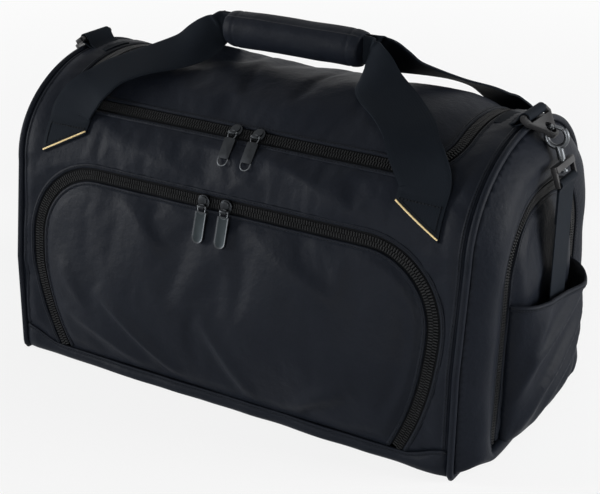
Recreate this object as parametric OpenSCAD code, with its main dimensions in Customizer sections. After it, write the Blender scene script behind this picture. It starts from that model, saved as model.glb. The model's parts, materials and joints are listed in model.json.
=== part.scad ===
// Soft holdall for drum gear: padded nylon body, zipped lid, zipped pockets, webbing handles, stowed strap.
// Millimetres. +X runs along the length, -Y is the front with the large pocket, +Z is up from the floor.

/* [Body] */
// Length over the two end pipings
bag_l = 520; // [500:5:560]
// Depth of the lower body
bag_d = 284; // [276:2:300]
// Height at which the rounded top starts
wall_h = 214; // [210:1:218]
// Height at which the long walls begin to lean in
lean_z = 110; // [90:5:130]
// How far each long wall leans in below the rounded top
wall_lean = 12; // [10:1:14]
// Rise of the rounded top above the walls
top_h = 98; // [96:1:100]
// Swell of the rear wall
rear_swell = 9; // [6:1:10]
// How far each end bulges past its piping's inner edge
end_bulge = 18; // [14:1:20]
// Radius of the long lower edges
base_r = 10; // [8:1:14]
// Height of the seam round the base tray
seam_h = 18; // [17:1:20]
// Thickness of the padded cloth
cloth_t = 3; // [2.5:0.5:3.5]
// Width of the piping round each end
piping_w = 6; // [5:0.5:8]
// How far the piping stands out of the cloth
piping_rise = 3; // [2:0.5:4]

/* [Lid] */
// Half width between the zip's two side runs
lid_hw = 214; // [208:1:218]
// Distance of the zip's front run from the middle
lid_front = 95; // [90:1:98]
// Radius of the lid's front corners
lid_r = 38; // [30:1:45]

/* [Zips] */
// Half width of a zip, from its middle to the cloth
zip_hw = 7; // [5:0.5:8]
// Gap between the two halves of a zip
zip_gap = 0.6; // [0.6:0.1:1]
// Length of a zip puller
puller_l = 36; // [32:1:38]
// Width of a zip puller
puller_w = 14; // [12:0.5:15]

/* [Pockets] */
// Half width of the front pocket at its widest
front_hm = 231; // [220:1:234]
// Half width of the front pocket at the base seam
front_hb = 200; // [190:1:215]
// Top of the front pocket's zip
front_top = 218; // [212:1:220]
// Radius of the front pocket's top corners
front_r = 76; // [60:1:85]
// Swell of the front pocket's panel
front_swell = 14; // [8:1:16]
// Half width of an end pocket at its widest
end_hm = 82; // [80:1:86]
// Half width of an end pocket at the base seam
end_hb = 90; // [86:1:92]
// Top of an end pocket's zip
end_top = 250; // [245:1:252]
// Radius of an end pocket's top corners
end_r = 72; // [66:1:74]
// Swell of an end pocket's panel
end_swell = 10; // [8:1:10]
// Depth of the pockets behind the wall
pocket_depth = 17; // [12:1:18]
// Height of the slip pocket's rim
slip_rim = 158; // [150:1:165]
// Half width of the slip pocket
slip_hw = 73; // [70:1:74]
// How far the slip pocket stands out from the end
slip_out = 46; // [44:1:50]

/* [Handles and strap] */
// Width of the handle webbing
web_w = 50; // [44:1:52]
// Thickness of the webbing
web_t = 2.4; // [2:0.2:2.8]
// Distance of each handle leg from the middle
leg_x = 202; // [200:1:204]
// Outer radius of the wrapped grip
grip_r = 19.5; // [18:0.5:21]
// Half length of the wrapped grip
grip_hl = 78; // [70:1:79]
// Height of the grip's middle
grip_z = 356; // [352:1:360]
// Width of the shoulder strap
strap_w = 38; // [34:1:38]
// Droop of the end rings below level, in degrees
ring_droop = 36.87; // [34:0.5:38]

/* [Hidden] */
$fn = 48;

nylon = [0.10, 0.11, 0.13];
padding = [0.12, 0.13, 0.15];
lining = [0.16, 0.17, 0.19];
webbing = [0.13, 0.14, 0.16];
coil = [0.22, 0.22, 0.21];
gunmetal = [0.34, 0.35, 0.37];
moulding = [0.15, 0.15, 0.16];
gold = [0.85, 0.72, 0.45];

half_d = bag_d / 2;
top_hw = half_d - wall_lean;
end_x = bag_l / 2;
wrap_x = end_x - piping_w;
// Outer face of an end where its zip is sewn in
face_x = wrap_x + cloth_t + end_bulge;
end_border = 14;
rim_lap = 1;
front_split = 70;
axis_y = 80;
axis_z = top_z(axis_y) - cloth_t / 2;
hinge_gap = 3;
welt_r = 2.2;
// Slope of the rounded top under the zip's front run, measured from level
zip_a = 90 - wall_a(top_z(lid_front));
zip_inset = 0.5;
foot_z = seam_h + 1;
under_z = seam_h - 5;
board_edge = 3;
board_t = 3;
top_split = 200;
liner_t = 1.5;
liner_lap = 2;
skin_gap = 0.3;
anchor_z = 230;
anchor_h = 30;
anchor_cut = 25;
gold_w = 1.4;
gold_t = 0.9;
gold_edge = 1.2;
gold_end = 1;
grip_web_w = web_w - 22;
grip_web_y = 3.4;
swing_z = anchor_z + anchor_h + 6;
swing_y = wall_y(swing_z) + 2.6;
tab_w = 40;
tab_sewn = [226, 250];
tab_bend = 246;
tab_loop_r = 6;
tab_play = 0.4;
bar_x = 256;
bar_z = 322;
bar_r = 3;
ring_t = 5;
ring_lug = tab_w / 2 + 1;
ring_side = 5;
ring_neck = [7, 24];
ring_tip = 7.5;
ring_hole_u = 21;
ring_hole_r = 6.5;
ring_wall = 3.2;
claw_r = 10;
claw_wire = 2.6;
claw_gap_a = 4;
shank_r = 3.6;
shank_end = 22;
post_r = 2;
post_end = 34;
rivet_r = 3.4;
rivet_h = 2;
gate_r = 1.8;
hook_lean = 18;
yoke = [24, 30];
yoke_hw = 3.5;
yoke_arm = 1.5;
swivel_bar = 42;
swivel_bar_r = 2;
strap_t = 2.2;
strap_loop_r = 4.6;
strap_end_z = 124;
big = 700;

// Points of an arc with the middle c
function arc(c, r, a0, a1, n) =
    [for (i = [0:n]) let (a = a0 + (a1 - a0) * i / n) [c[0] + r * cos(a), c[1] + r * sin(a)]];
function flip(points) =
    [for (i = [len(points) - 1:-1:0]) [-points[i][0], points[i][1]]];
// Height of the rounded top, which is half an ellipse
function top_z(y) = wall_h + top_h * sqrt(1 - pow(y / top_hw, 2));
// Distance of the long wall or the rounded top from the middle
function wall_y(z) =
    z < lean_z ? half_d :
    z < wall_h ? half_d - wall_lean * (z - lean_z) / (wall_h - lean_z) :
    top_hw * sqrt(1 - pow((z - wall_h) / top_h, 2));
// Lean of that surface from upright, above the height at which it begins
function wall_a(z) =
    z < wall_h ? atan(wall_lean / (wall_h - lean_z)) :
    atan(pow(top_hw / top_h, 2) * (z - wall_h) / wall_y(z));
// Rear half of the end outline, drawn in by d
function loaf_half(d) = concat(
    arc([half_d - base_r, base_r], base_r - d, -90, 0, 5),
    [[half_d - d, lean_z]],
    [for (i = [0:13]) let (a = 90 * i / 14) [(top_hw - d) * cos(a), wall_h + (top_h - d) * sin(a)]]);
function loaf(d) = concat(loaf_half(d), [[0, top_z(0) - d]], flip(loaf_half(d)));
// Outline of the lid seen from above, grown by d and cut off at the rear
function lid_half(d, rear) = let (rx = lid_r + d, ry = lid_r + d * cos(zip_a)) concat(
    [[lid_hw + d, rear]],
    [for (i = [0:8]) let (a = 90 * i / 8) [lid_hw - lid_r + rx * cos(a), lid_r - lid_front - ry * sin(a)]]);
function lid_plan(d, rear) = concat(lid_half(d, rear), flip(lid_half(d, rear)));
// Half width of an arched pocket at the height z below its corners: hm there, hb at the base seam
function arch_side(hm, hb, spring, z) = hm - (hm - hb) * pow((spring - z) / (spring - seam_h), 2);
// Arched pocket outline, drawn in by d and cut off at the height z0, with the corner radius r
function arch_half(hm, hb, top, r, z0, d) = let (
    spring = top - r,
    step = (spring - under_z) / 6,
    side = [for (i = [0:5]) arch_side(hm, hb, spring, under_z + step * i)]) concat(
    [[side[0] + (side[1] - side[0]) * (z0 - under_z) / step - d, z0]],
    [for (i = [1:5]) [side[i] - d, under_z + step * i]],
    arc([hm - r, spring], r - d, 0, 90, 8));
function arch(hm, hb, top, r, z0, d) =
    concat(arch_half(hm, hb, top, r, z0, d), flip(arch_half(hm, hb, top, r, z0, d)));
function front_arch(d, z0 = seam_h) = arch(front_hm, front_hb, front_top, front_r, z0, d);
function end_arch(d, z0 = seam_h) = arch(end_hm, end_hb, end_top, end_r, z0, d);
// Half width of the end pocket at the height z
function end_half(z) = arch_side(end_hm, end_hb, end_top - end_r, z);
// Swelling curve across the span from a to b
function swell(a, b, rise, n) =
    [for (i = [0:n]) let (f = i / n) [a + (b - a) * f, rise * (1 - pow(2 * f - 1, 2))]];
function unit(v) = v / norm(v);

module along_x(x0, x1) { translate([x0, 0, 0]) rotate([90, 0, 90]) linear_extrude(x1 - x0) children(); }
module along_y(y0, y1) { translate([0, y1, 0]) rotate([90, 0, 0]) linear_extrude(y1 - y0) children(); }
module along_z(z0, z1) { translate([0, 0, z0]) linear_extrude(z1 - z0) children(); }
module box(x0, x1, y0, y1, z0, z1) { translate([x0, y0, z0]) cube([x1 - x0, y1 - y0, z1 - z0]); }
module loaf_ring(d0, d1) {
    difference() {
        polygon(loaf(d0));
        polygon(loaf(d1));
    }
}
module arch_band(outer, inner) {
    difference() {
        polygon(outer);
        polygon(inner);
    }
}
module lid_prism(d, rear) { along_z(lean_z, big) polygon(lid_plan(d, rear)); }
// A prism through the front wall, or through the right end
module through_front() { along_y(-big, -front_split) children(); }
module through_end() { along_x(wrap_x - 1, big) children(); }
// Places what stands on the front wall or shoulder: local Z points out, local Y up the slope
module seat(x, y, z, a) { translate([x, y, z]) rotate([a, 0, 0]) children(); }
module zip_seat(side) {
    seat(main_zip_mid + side * main_slider_x, -lid_front, top_z(lid_front), zip_a) children();
}
module front_zip_seat(side) {
    seat(front_zip_mid + side * front_slider_x, -wall_y(front_top), front_top, 90 - wall_a(front_top)) children();
}
module end_zip_seat() {
    translate([face_x, end_half(end_slider_z), end_slider_z]) rotate([90, 0, 90]) children();
}
module other_end() { mirror([1, 0, 0]) children(); }

// Body wrap
module wrap() {
    difference() {
        along_x(-wrap_x, wrap_x) loaf_ring(0, cloth_t);
        lid_prism(zip_hw, axis_y + hinge_gap);
    }
}
module base_tray() {
    color(nylon) intersection() {
        along_x(-wrap_x, wrap_x) loaf_ring(0, cloth_t);
        box(-big, big, -big, big, -1, seam_h);
    }
}
module base_board() {
    hx = wrap_x - board_edge;
    hy = half_d - base_r - board_edge;
    color(lining) box(-hx, hx, -hy, hy, cloth_t + skin_gap, cloth_t + skin_gap + board_t);
}
module front_panel() {
    color(nylon) difference() {
        intersection() {
            wrap();
            box(-big, big, -big, -front_split, seam_h, big);
        }
        through_front() polygon(front_arch(-zip_hw, under_z));
    }
}
// Filled swelling of the rear wall below the handle ends, with its face moved in by d
module rear_swelling(d) {
    top = anchor_z - 7;
    face = [for (s = swell(seam_h, top, rear_swell, 8)) [wall_y(s[0]) + s[1] - d, s[0]]];
    plan = [for (s = swell(-wrap_x, wrap_x, rear_swell + 2, 12)) [s[0], half_d + s[1] - d]];
    intersection() {
        along_x(-wrap_x, wrap_x) polygon(concat([[0, top], [0, seam_h]], face));
        along_z(0, big) polygon(concat([[wrap_x, 0], [-wrap_x, 0]], plan));
    }
}
module rear_panel() {
    color(nylon) intersection() {
        difference() {
            union() {
                along_x(-wrap_x, wrap_x) polygon(loaf(0));
                rear_swelling(0);
            }
            along_x(-big, big) polygon(loaf(cloth_t));
            rear_swelling(cloth_t);
        }
        box(-big, big, axis_y + hinge_gap, big, seam_h, big);
    }
}
module top_panel() {
    color(nylon) intersection() {
        wrap();
        box(top_split, big, -front_split, axis_y + hinge_gap, lean_z, big);
    }
}
// Filled bulge of an end, from inside the rim band out to a level border round the zip
module end_dome() {
    hull() {
        along_x(wrap_x, wrap_x + cloth_t) polygon(loaf(2 * cloth_t));
        along_x(face_x - cloth_t, face_x) polygon(end_arch(-zip_hw - end_border, under_z));
    }
}
module end_panel() {
    color(padding) difference() {
        union() {
            difference() {
                end_dome();
                translate([-cloth_t, 0, 0]) end_dome();
            }
            along_x(wrap_x, wrap_x + cloth_t) loaf_ring(cloth_t, 2 * cloth_t + rim_lap);
        }
        through_end() polygon(end_arch(-zip_hw));
    }
}
module piping() {
    color(nylon) intersection() {
        along_x(wrap_x, end_x) loaf_ring(-piping_rise, cloth_t);
        box(-big, big, -big, big, skin_gap, big);
    }
}
module lid_welt() {
    color(nylon) along_x(welt_r - lid_hw, lid_hw - welt_r) translate([axis_y, axis_z]) circle(welt_r);
}

// Lid and main zip
module lid_panel() {
    color(nylon) intersection() {
        along_x(-wrap_x, wrap_x) loaf_ring(0, cloth_t);
        lid_prism(-zip_hw, axis_y - hinge_gap);
    }
}
module main_zip(outer, inner) {
    color(coil) intersection() {
        along_x(-wrap_x, wrap_x) loaf_ring(zip_inset, cloth_t - zip_inset);
        difference() {
            lid_prism(outer, axis_y - hinge_gap);
            lid_prism(inner, axis_y);
        }
    }
}

// Zip hardware, in a local frame with Z out of the cloth
slider_seat = 1;
slider_t = 2.6;
pin_y = -4.4;
pin_z = 6;
pin_r = 1;
pin_play = 0.3;
slider_hw = 5.6;
slider_hl = 6.5;
slider_cut = 2.5;
cheek_x = 4.4;
cheek_w = 1.6;
cheek_l = 2.8;
cheek_h = 3.8;
eye_r = 2.2;
eye_w = 6;
neck_w = 4.8;
neck_l = 5;
puller_t = 2.4;
rim_w = 2;
dish_d = 0.7;
// The two points of one cut corner of the slider, in order round its outline
function slider_corner(sx, sy) = let (
    side = [sx * slider_hw, sy * (slider_hl - slider_cut)],
    tip = [sx * (slider_hw - slider_cut), sy * slider_hl])
    sx * sy > 0 ? [side, tip] : [tip, side];
module slider() {
    color(gunmetal) {
        translate([0, 0, slider_seat]) linear_extrude(slider_t)
            polygon([for (s = [[-1, -1], [1, -1], [1, 1], [-1, 1]]) each slider_corner(s[0], s[1])]);
        for (s = [-1, 1])
            translate([s * cheek_x - cheek_w / 2, pin_y - cheek_l / 2, slider_seat + slider_t])
                cube([cheek_w, cheek_l, cheek_h]);
        translate([-cheek_x, pin_y, pin_z]) rotate([0, 90, 0]) cylinder(r = pin_r, h = 2 * cheek_x);
    }
}
// Puller hanging from the slider's pin, turned in towards the cloth by the angle a
module puller(a) {
    color(gunmetal) translate([0, pin_y, pin_z]) rotate([a, 0, 0]) {
        difference() {
            union() {
                translate([-eye_w / 2, 0, 0]) rotate([0, 90, 0]) cylinder(r = eye_r, h = eye_w);
                translate([-neck_w / 2, -neck_l - 1, -puller_t / 2]) cube([neck_w, neck_l + 1, puller_t]);
            }
            translate([-eye_w, 0, 0]) rotate([0, 90, 0]) cylinder(r = pin_r + pin_play, h = 2 * eye_w);
        }
        difference() {
            translate([0, 0, -puller_t / 2]) linear_extrude(puller_t)
                pill(puller_w / 2, -neck_l - puller_w / 2, puller_w / 2 - puller_l);
            translate([0, 0, puller_t / 2 - dish_d]) linear_extrude(1)
                pill(puller_w / 2 - rim_w, -neck_l - puller_w / 2, puller_w / 2 - puller_l);
        }
    }
}
module pill(r, y0, y1) {
    translate([0, y0]) circle(r);
    translate([0, y1]) circle(r);
    translate([-r, y1]) square([2 * r, y0 - y1]);
}
main_zip_mid = 4;
main_slider_x = 13;
main_puller_a = 12;
front_zip_mid = -10;
front_slider_x = 13;
front_puller_a = -11;
end_slider_z = 66;
end_puller_a = -2;

// Front pocket: an arched panel that folds down about its foot
module front_liner() {
    y = -half_d + cloth_t + pocket_depth;
    out = -zip_hw - liner_lap;
    color(lining) intersection() {
        union() {
            along_y(y, y + liner_t) polygon(front_arch(out, foot_z));
            along_y(-half_d, y)
                arch_band(front_arch(out, foot_z), front_arch(out + liner_t, foot_z + liner_t));
        }
        along_x(-big, big) polygon(loaf(cloth_t + skin_gap));
    }
}
module front_zip(outer, inner) {
    color(coil) intersection() {
        along_x(-big, big) loaf_ring(zip_inset, cloth_t - zip_inset);
        through_front() arch_band(front_arch(outer, foot_z), front_arch(inner, under_z));
    }
}
// Filled swelling of the front pocket, with its face moved in by d
module front_swelling(d) {
    top = front_top - zip_hw;
    face = [for (s = swell(foot_z, top, front_swell, 10)) [d - wall_y(s[0]) - s[1], s[0]]];
    plan = [for (s = swell(-front_hm, front_hm, front_swell + 2, 12)) [s[0], d - half_d - s[1]]];
    intersection() {
        along_x(-big, big) polygon(concat([[-front_split, top], [-front_split, foot_z]], face));
        along_z(0, big) polygon(concat([[front_hm, -front_split], [-front_hm, -front_split]], plan));
    }
}
module front_pocket_panel() {
    color(nylon) intersection() {
        difference() {
            front_swelling(0);
            front_swelling(cloth_t);
        }
        through_front() polygon(front_arch(zip_hw, foot_z));
    }
}

// End pockets, drawn on the right end
module end_liner() {
    x = face_x - cloth_t - pocket_depth;
    out = -zip_hw - liner_lap;
    color(lining) {
        along_x(x - liner_t, x) polygon(end_arch(out, foot_z));
        along_x(x, face_x - cloth_t) arch_band(end_arch(out, foot_z), end_arch(out + liner_t, foot_z + liner_t));
    }
}
module end_zip(outer, inner) {
    color(coil) along_x(face_x - cloth_t + zip_inset, face_x - zip_inset)
        arch_band(end_arch(outer, foot_z), end_arch(inner, under_z));
}
// Filled swelling of an end pocket, with its face moved in by d
module end_swelling(d) {
    top = end_top - zip_hw;
    x = face_x - d;
    face = [for (s = swell(foot_z, top, end_swell, 10)) [x + s[1], s[0]]];
    plan = [for (s = swell(-end_hm, end_hm, end_swell + 2, 12)) [x + s[1], s[0]]];
    intersection() {
        along_y(-big, big) polygon(concat([[lid_hw, top], [lid_hw, foot_z]], face));
        along_z(0, big) polygon(concat([[lid_hw, end_hm], [lid_hw, -end_hm]], plan));
    }
}
module end_pocket_panel() {
    color(nylon) intersection() {
        difference() {
            end_swelling(0);
            end_swelling(cloth_t);
        }
        along_x(wrap_x, big) polygon(end_arch(zip_hw, foot_z));
    }
}
// Slip pocket: a pouch with a full rounded plan, drawn in towards its foot and open at the top
slip_x = face_x + skin_gap;
slip_rise = end_x + slip_out - slip_x;
slip_floor = 12;
slip_full_z = 110;
slip_foot = 8;
plan_power = 2 / 3;
side_power = 0.8;
// Plan and side outlines of the pouch, with the wall moved in by d
function slip_plan(d) = [for (i = [-12:12]) let (a = 7.5 * i)
    [slip_x + (slip_rise - d) * pow(cos(a), plan_power),
     (slip_hw - d) * sign(a) * pow(abs(sin(a)), plan_power)]];
function slip_side(d, top) = concat(
    [[lid_hw, top], [lid_hw, slip_floor + d]],
    [for (i = [0:10]) let (a = 9 * i)
        [slip_x + slip_foot - d + (slip_rise - slip_foot) * pow(sin(a), side_power),
         slip_full_z - (slip_full_z - slip_floor - d) * pow(cos(a), side_power)]],
    [[slip_x + slip_rise - d, top]]);
module slip_form(d, top) {
    intersection() {
        along_z(0, top) polygon(slip_plan(d));
        along_y(-big, big) polygon(slip_side(d, top));
    }
}
module slip_pocket() {
    color(nylon) difference() {
        slip_form(0, slip_rim);
        slip_form(cloth_t, slip_rim + 1);
        end_swelling(-skin_gap);
    }
}
module strap_fold() {
    layers = 4;
    ply = 2;
    pitch = 2.6;
    hw = strap_w / 2 - 2;
    low = 46;
    high = 112;
    x0 = face_x + end_swell + 1.6;
    color(webbing) for (i = [0:layers - 1]) {
        x1 = x0 + i * pitch + ply;
        z = i % 2 == 0 ? low : high - ply;
        box(x1 - ply, x1, -hw, hw, low, high);
        if (i > 0) box(x1 - pitch - ply, x1, -hw, hw, z, z + ply);
    }
}

// Handles: one ribbon swept from anchor to anchor
// Stations of the right half: place, direction of the width, width
handle_half = [
    [[leg_x, -swing_y, swing_z], [1, 0, 0], web_w],
    [[leg_x, -109.5, 272.5], [1, 0, 0], web_w],
    [[leg_x - 3, -106, 280], [0.99, 0.1, 0.1], web_w],
    [[leg_x - 11, -101, 291], [0.95, 0.24, 0.18], web_w],
    [[leg_x - 21, -94, 302], [0.88, 0.4, 0.2], web_w],
    [[169, -80, 313], [0.8, 0.55, 0.2], web_w],
    [[146, -60, 323], [0.66, 0.68, 0.25], web_w],
    [[115, -38, 334], [0.5, 0.72, 0.5], web_w - 2],
    [[99, -21, 345], [0.3, 0.5, 0.8], web_w - 8],
    [[89, -8.5, 353], [0.12, 0.22, 0.95], web_w - 16],
    [[81, -grip_web_y, grip_z], [0, 0, 1], grip_web_w],
    [[40, -grip_web_y, grip_z], [0, 0, 1], grip_web_w]
];
function mirrored(s) = [[-s[0][0], s[0][1], s[0][2]], [s[1][0], -s[1][1], -s[1][2]], s[2]];
handle_line = concat(handle_half, [for (i = [len(handle_half) - 1:-1:0]) mirrored(handle_half[i])]);
// Four corners of the ribbon at station i; the left half's width points the other way round the arch
function ribbon_ring(line, i, t) =
    let (n = len(line) - 1,
         side = i <= n / 2 ? 1 : -1,
         run = unit(line[min(i + 1, n)][0] - line[max(i - 1, 0)][0]),
         w = unit(line[i][1] - run * (run * line[i][1])) * side,
         across = w * line[i][2] / 2,
         out = cross(run, w) * t / 2)
    [for (s = [[1, 1], [-1, 1], [-1, -1], [1, -1]]) line[i][0] + across * s[0] + out * s[1]];
module ribbon(line, t) {
    n = len(line);
    points = [for (i = [0:n - 1]) each ribbon_ring(line, i, t)];
    sides = [for (i = [0:n - 2]) for (k = [0:3]) let (a = 4 * i + k, b = 4 * i + (k + 1) % 4)
        each [[a, b, b + 4], [a, b + 4, a + 4]]];
    last = 4 * (n - 1);
    caps = [[0, 2, 1], [0, 3, 2], [last, last + 1, last + 2], [last, last + 2, last + 3]];
    polyhedron(points, concat(sides, caps));
}
module handle() { color(webbing) ribbon(handle_line, web_t); }
// What lies on the front of the rounded top, from the height h0 above its surface to h1, drawn as seen from the front
module on_front(h0, h1) {
    intersection() {
        along_x(-big, big) loaf_ring(-h1, -h0);
        through_front() children();
    }
}
// The sewn ends of a handle follow the rounded top and are cut on the slant, the outer corner lower
module anchors() {
    hw = web_w / 2;
    color(webbing) for (s = [-1, 1])
        on_front(skin_gap, skin_gap + web_t) translate([s * leg_x, anchor_z])
            polygon([[-s * hw, anchor_cut], [s * hw, 0], [s * hw, anchor_h], [-s * hw, anchor_h]]);
}
// The bright seam along each slanted cut
module gold_trim() {
    slant = atan(anchor_cut / web_w);
    length = norm([anchor_cut, web_w]) - 2 * gold_end;
    color(gold) for (s = [-1, 1])
        on_front(skin_gap + web_t, skin_gap + web_t + gold_t)
            translate([s * leg_x, anchor_z + anchor_cut / 2]) rotate(-s * slant)
                translate([-length / 2, gold_edge]) square([length, gold_w]);
}
// Half of the padded wrap, with a slot for its own handle
module grip_pad() {
    slot_hh = grip_web_w / 2 + 1;
    color(padding) along_x(-grip_hl, grip_hl) difference() {
        translate([0, grip_z]) circle(grip_r);
        translate([-skin_gap, 0]) square([big, big]);
        translate([-grip_web_y - web_t / 2 - 0.1, grip_z - slot_hh]) square([big, 2 * slot_hh]);
    }
}
module to_rear() { mirror([0, 1, 0]) children(); }

// End tabs and rings, drawn on the right end
module tab() {
    z = top_z(0) + skin_gap;
    color(webbing) difference() {
        along_y(-tab_w / 2, tab_w / 2) {
            translate([tab_sewn[0], z]) square([tab_sewn[1] - tab_sewn[0], web_t]);
            translate([bar_x, bar_z]) circle(tab_loop_r);
            polygon([[tab_bend, z], [tab_sewn[1], z], [bar_x - 1, bar_z - 5], [bar_x - 4, bar_z + 4]]);
        }
        along_y(-tab_w, tab_w) translate([bar_x, bar_z]) circle(bar_r + tab_play);
    }
}
module ring() {
    hw = ring_lug + ring_side;
    half = [[0, hw], [ring_neck[0], hw], [ring_neck[1], ring_tip]];
    color(moulding) translate([bar_x, 0, bar_z]) rotate([0, ring_droop, 0]) {
        rotate([90, 0, 0]) translate([0, 0, 2 - hw]) cylinder(r = bar_r, h = 2 * hw - 4);
        translate([0, 0, -ring_t / 2]) linear_extrude(ring_t) difference() {
            union() {
                polygon(concat(half, [for (i = [2:-1:0]) [half[i][0], -half[i][1]]]));
                translate([ring_hole_u, 0]) circle(ring_hole_r + ring_wall);
            }
            translate([-1, -ring_lug]) square([ring_neck[0] + 2, 2 * ring_lug]);
            translate([ring_hole_u, 0]) circle(ring_hole_r);
        }
    }
}

// Swivel hook of the shoulder strap: local -Z runs along the shank, the origin is the middle of the claw
hook_x = bar_x + (ring_hole_u + claw_r) * cos(ring_droop);
hook_z = bar_z - (ring_hole_u + claw_r) * sin(ring_droop);
gate_a0 = 34;
gate_a1 = 96;
module at_hook() { translate([hook_x, 0, hook_z]) rotate([0, -hook_lean, 0]) children(); }
module hook_solid() {
    sweep = 360 - gate_a1 + gate_a0 - 2 * claw_gap_a;
    rotate([90, 0, 0]) rotate([0, 0, gate_a1 + claw_gap_a]) rotate_extrude(angle = sweep)
        translate([claw_r, 0]) circle(claw_wire);
    translate([0, 0, -shank_end]) cylinder(r = shank_r, h = shank_end - claw_r + 1);
    translate([0, 0, -post_end]) cylinder(r = post_r, h = post_end - shank_end + 1);
    translate([0, 0, -post_end]) cylinder(r = rivet_r, h = rivet_h);
}
module hook() { color(moulding) at_hook() hook_solid(); }
module hook_gate() {
    a = [claw_r * cos(gate_a0), claw_r * sin(gate_a0)];
    b = [claw_r * cos(gate_a1), claw_r * sin(gate_a1)];
    run = norm(b - a);
    color(moulding) at_hook() rotate([90, 0, 0]) translate([a[0], a[1], 0])
        rotate([0, 0, atan2(b[1] - a[1], b[0] - a[0])]) translate([0.9, 0, 0]) rotate([0, 90, 0])
            cylinder(r = gate_r, h = run - gate_r);
}
module strap_swivel() {
    half = strap_w / 2 + 2;
    low = -swivel_bar - swivel_bar_r;
    color(moulding) at_hook() {
        difference() {
            box(-yoke_hw, yoke_hw, -half, half, -yoke[1], -yoke[0]);
            translate([0, 0, -yoke[1] - 1]) cylinder(r = post_r + 0.2, h = yoke[1] - yoke[0] + 2);
        }
        for (s = [-1, 1]) translate([0, s * half, 0]) box(-2.2, 2.2, -yoke_arm, yoke_arm, low, -yoke[0]);
        translate([0, half, -swivel_bar]) rotate([90, 0, 0]) cylinder(r = swivel_bar_r, h = 2 * half);
    }
}
bar2_x = hook_x + swivel_bar * sin(hook_lean);
bar2_z = hook_z - swivel_bar * cos(hook_lean);
stowed_at = [face_x + end_swell + 5, -36, 100];
module strap_run() {
    color(webbing) difference() {
        union() {
            along_y(-strap_w / 2, strap_w / 2) translate([bar2_x, bar2_z]) circle(strap_loop_r);
            translate([bar2_x, 0, 0])
                box(-strap_t / 2, strap_t / 2, -strap_w / 2, strap_w / 2, strap_end_z, bar2_z - 3);
        }
        along_y(-strap_w, strap_w) translate([bar2_x, bar2_z]) circle(swivel_bar_r + tab_play);
    }
}
module stowed_hook() {
    color(moulding) translate(stowed_at) rotate([0, 0, 90]) hook_solid();
}

base_tray();
base_board();
front_panel();
rear_panel();
other_end() top_panel();  // left_top_panel
top_panel();  // right_top_panel
other_end() end_panel();  // left_end_panel
end_panel();  // right_end_panel
other_end() piping();  // left_piping
piping();  // right_piping
lid_welt();
main_zip(zip_hw, zip_gap / 2);  // main_zip_body
lid_panel();
main_zip(-zip_gap / 2, -zip_hw);  // main_zip_lid
zip_seat(-1) slider();  // main_slider_left
zip_seat(1) slider();  // main_slider_right
zip_seat(-1) puller(main_puller_a);  // main_puller_left
zip_seat(1) puller(main_puller_a);  // main_puller_right
front_liner();
front_zip(-zip_hw, -zip_gap / 2);  // front_zip_frame
front_pocket_panel();
front_zip(zip_gap / 2, zip_hw);  // front_zip_flap
front_zip_seat(-1) slider();  // front_slider_left
front_zip_seat(1) slider();  // front_slider_right
front_zip_seat(-1) puller(front_puller_a);  // front_puller_left
front_zip_seat(1) puller(front_puller_a);  // front_puller_right
end_liner();  // right_liner
end_zip(-zip_hw, -zip_gap / 2);  // right_zip_frame
end_pocket_panel();  // right_pocket_panel
end_zip(zip_gap / 2, zip_hw);  // right_zip_flap
end_zip_seat() slider();  // right_slider
end_zip_seat() puller(end_puller_a);  // right_puller
other_end() end_liner();  // left_liner
other_end() end_zip(-zip_hw, -zip_gap / 2);  // left_zip_frame
other_end() end_pocket_panel();  // left_pocket_panel
other_end() end_zip(zip_gap / 2, zip_hw);  // left_zip_flap
other_end() end_zip_seat() slider();  // left_slider
other_end() end_zip_seat() puller(end_puller_a);  // left_puller
slip_pocket();
strap_fold();
stowed_hook();
anchors();  // front_anchors
gold_trim();  // front_gold_trim
handle();  // front_handle
grip_pad();  // front_grip_pad
to_rear() anchors();  // rear_anchors
to_rear() gold_trim();  // rear_gold_trim
to_rear() handle();  // rear_handle
to_rear() grip_pad();  // rear_grip_pad
other_end() tab();  // left_tab
other_end() ring();  // left_ring
tab();  // right_tab
ring();  // right_ring
hook();
hook_gate();
strap_swivel();
strap_run();
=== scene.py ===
# %% [markdown]
# # A soft nylon holdall
# The real bag is cut from black nylon cloth, sewn over a few stiffer parts, and closed with coil zips.
# The measured model gives every joint and size. This script lays the cloth, webbing and fittings over it,
# so each piece below starts from a box or a joint of that model, and most ride on one of its bodies.

# %% Load the measured model
import json
import math
from contextlib import contextmanager

import bpy
import numpy as np
from mathutils import Matrix, Vector, noise
from mathutils.bvhtree import BVHTree
from mathutils.geometry import delaunay_2d_cdt

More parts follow.
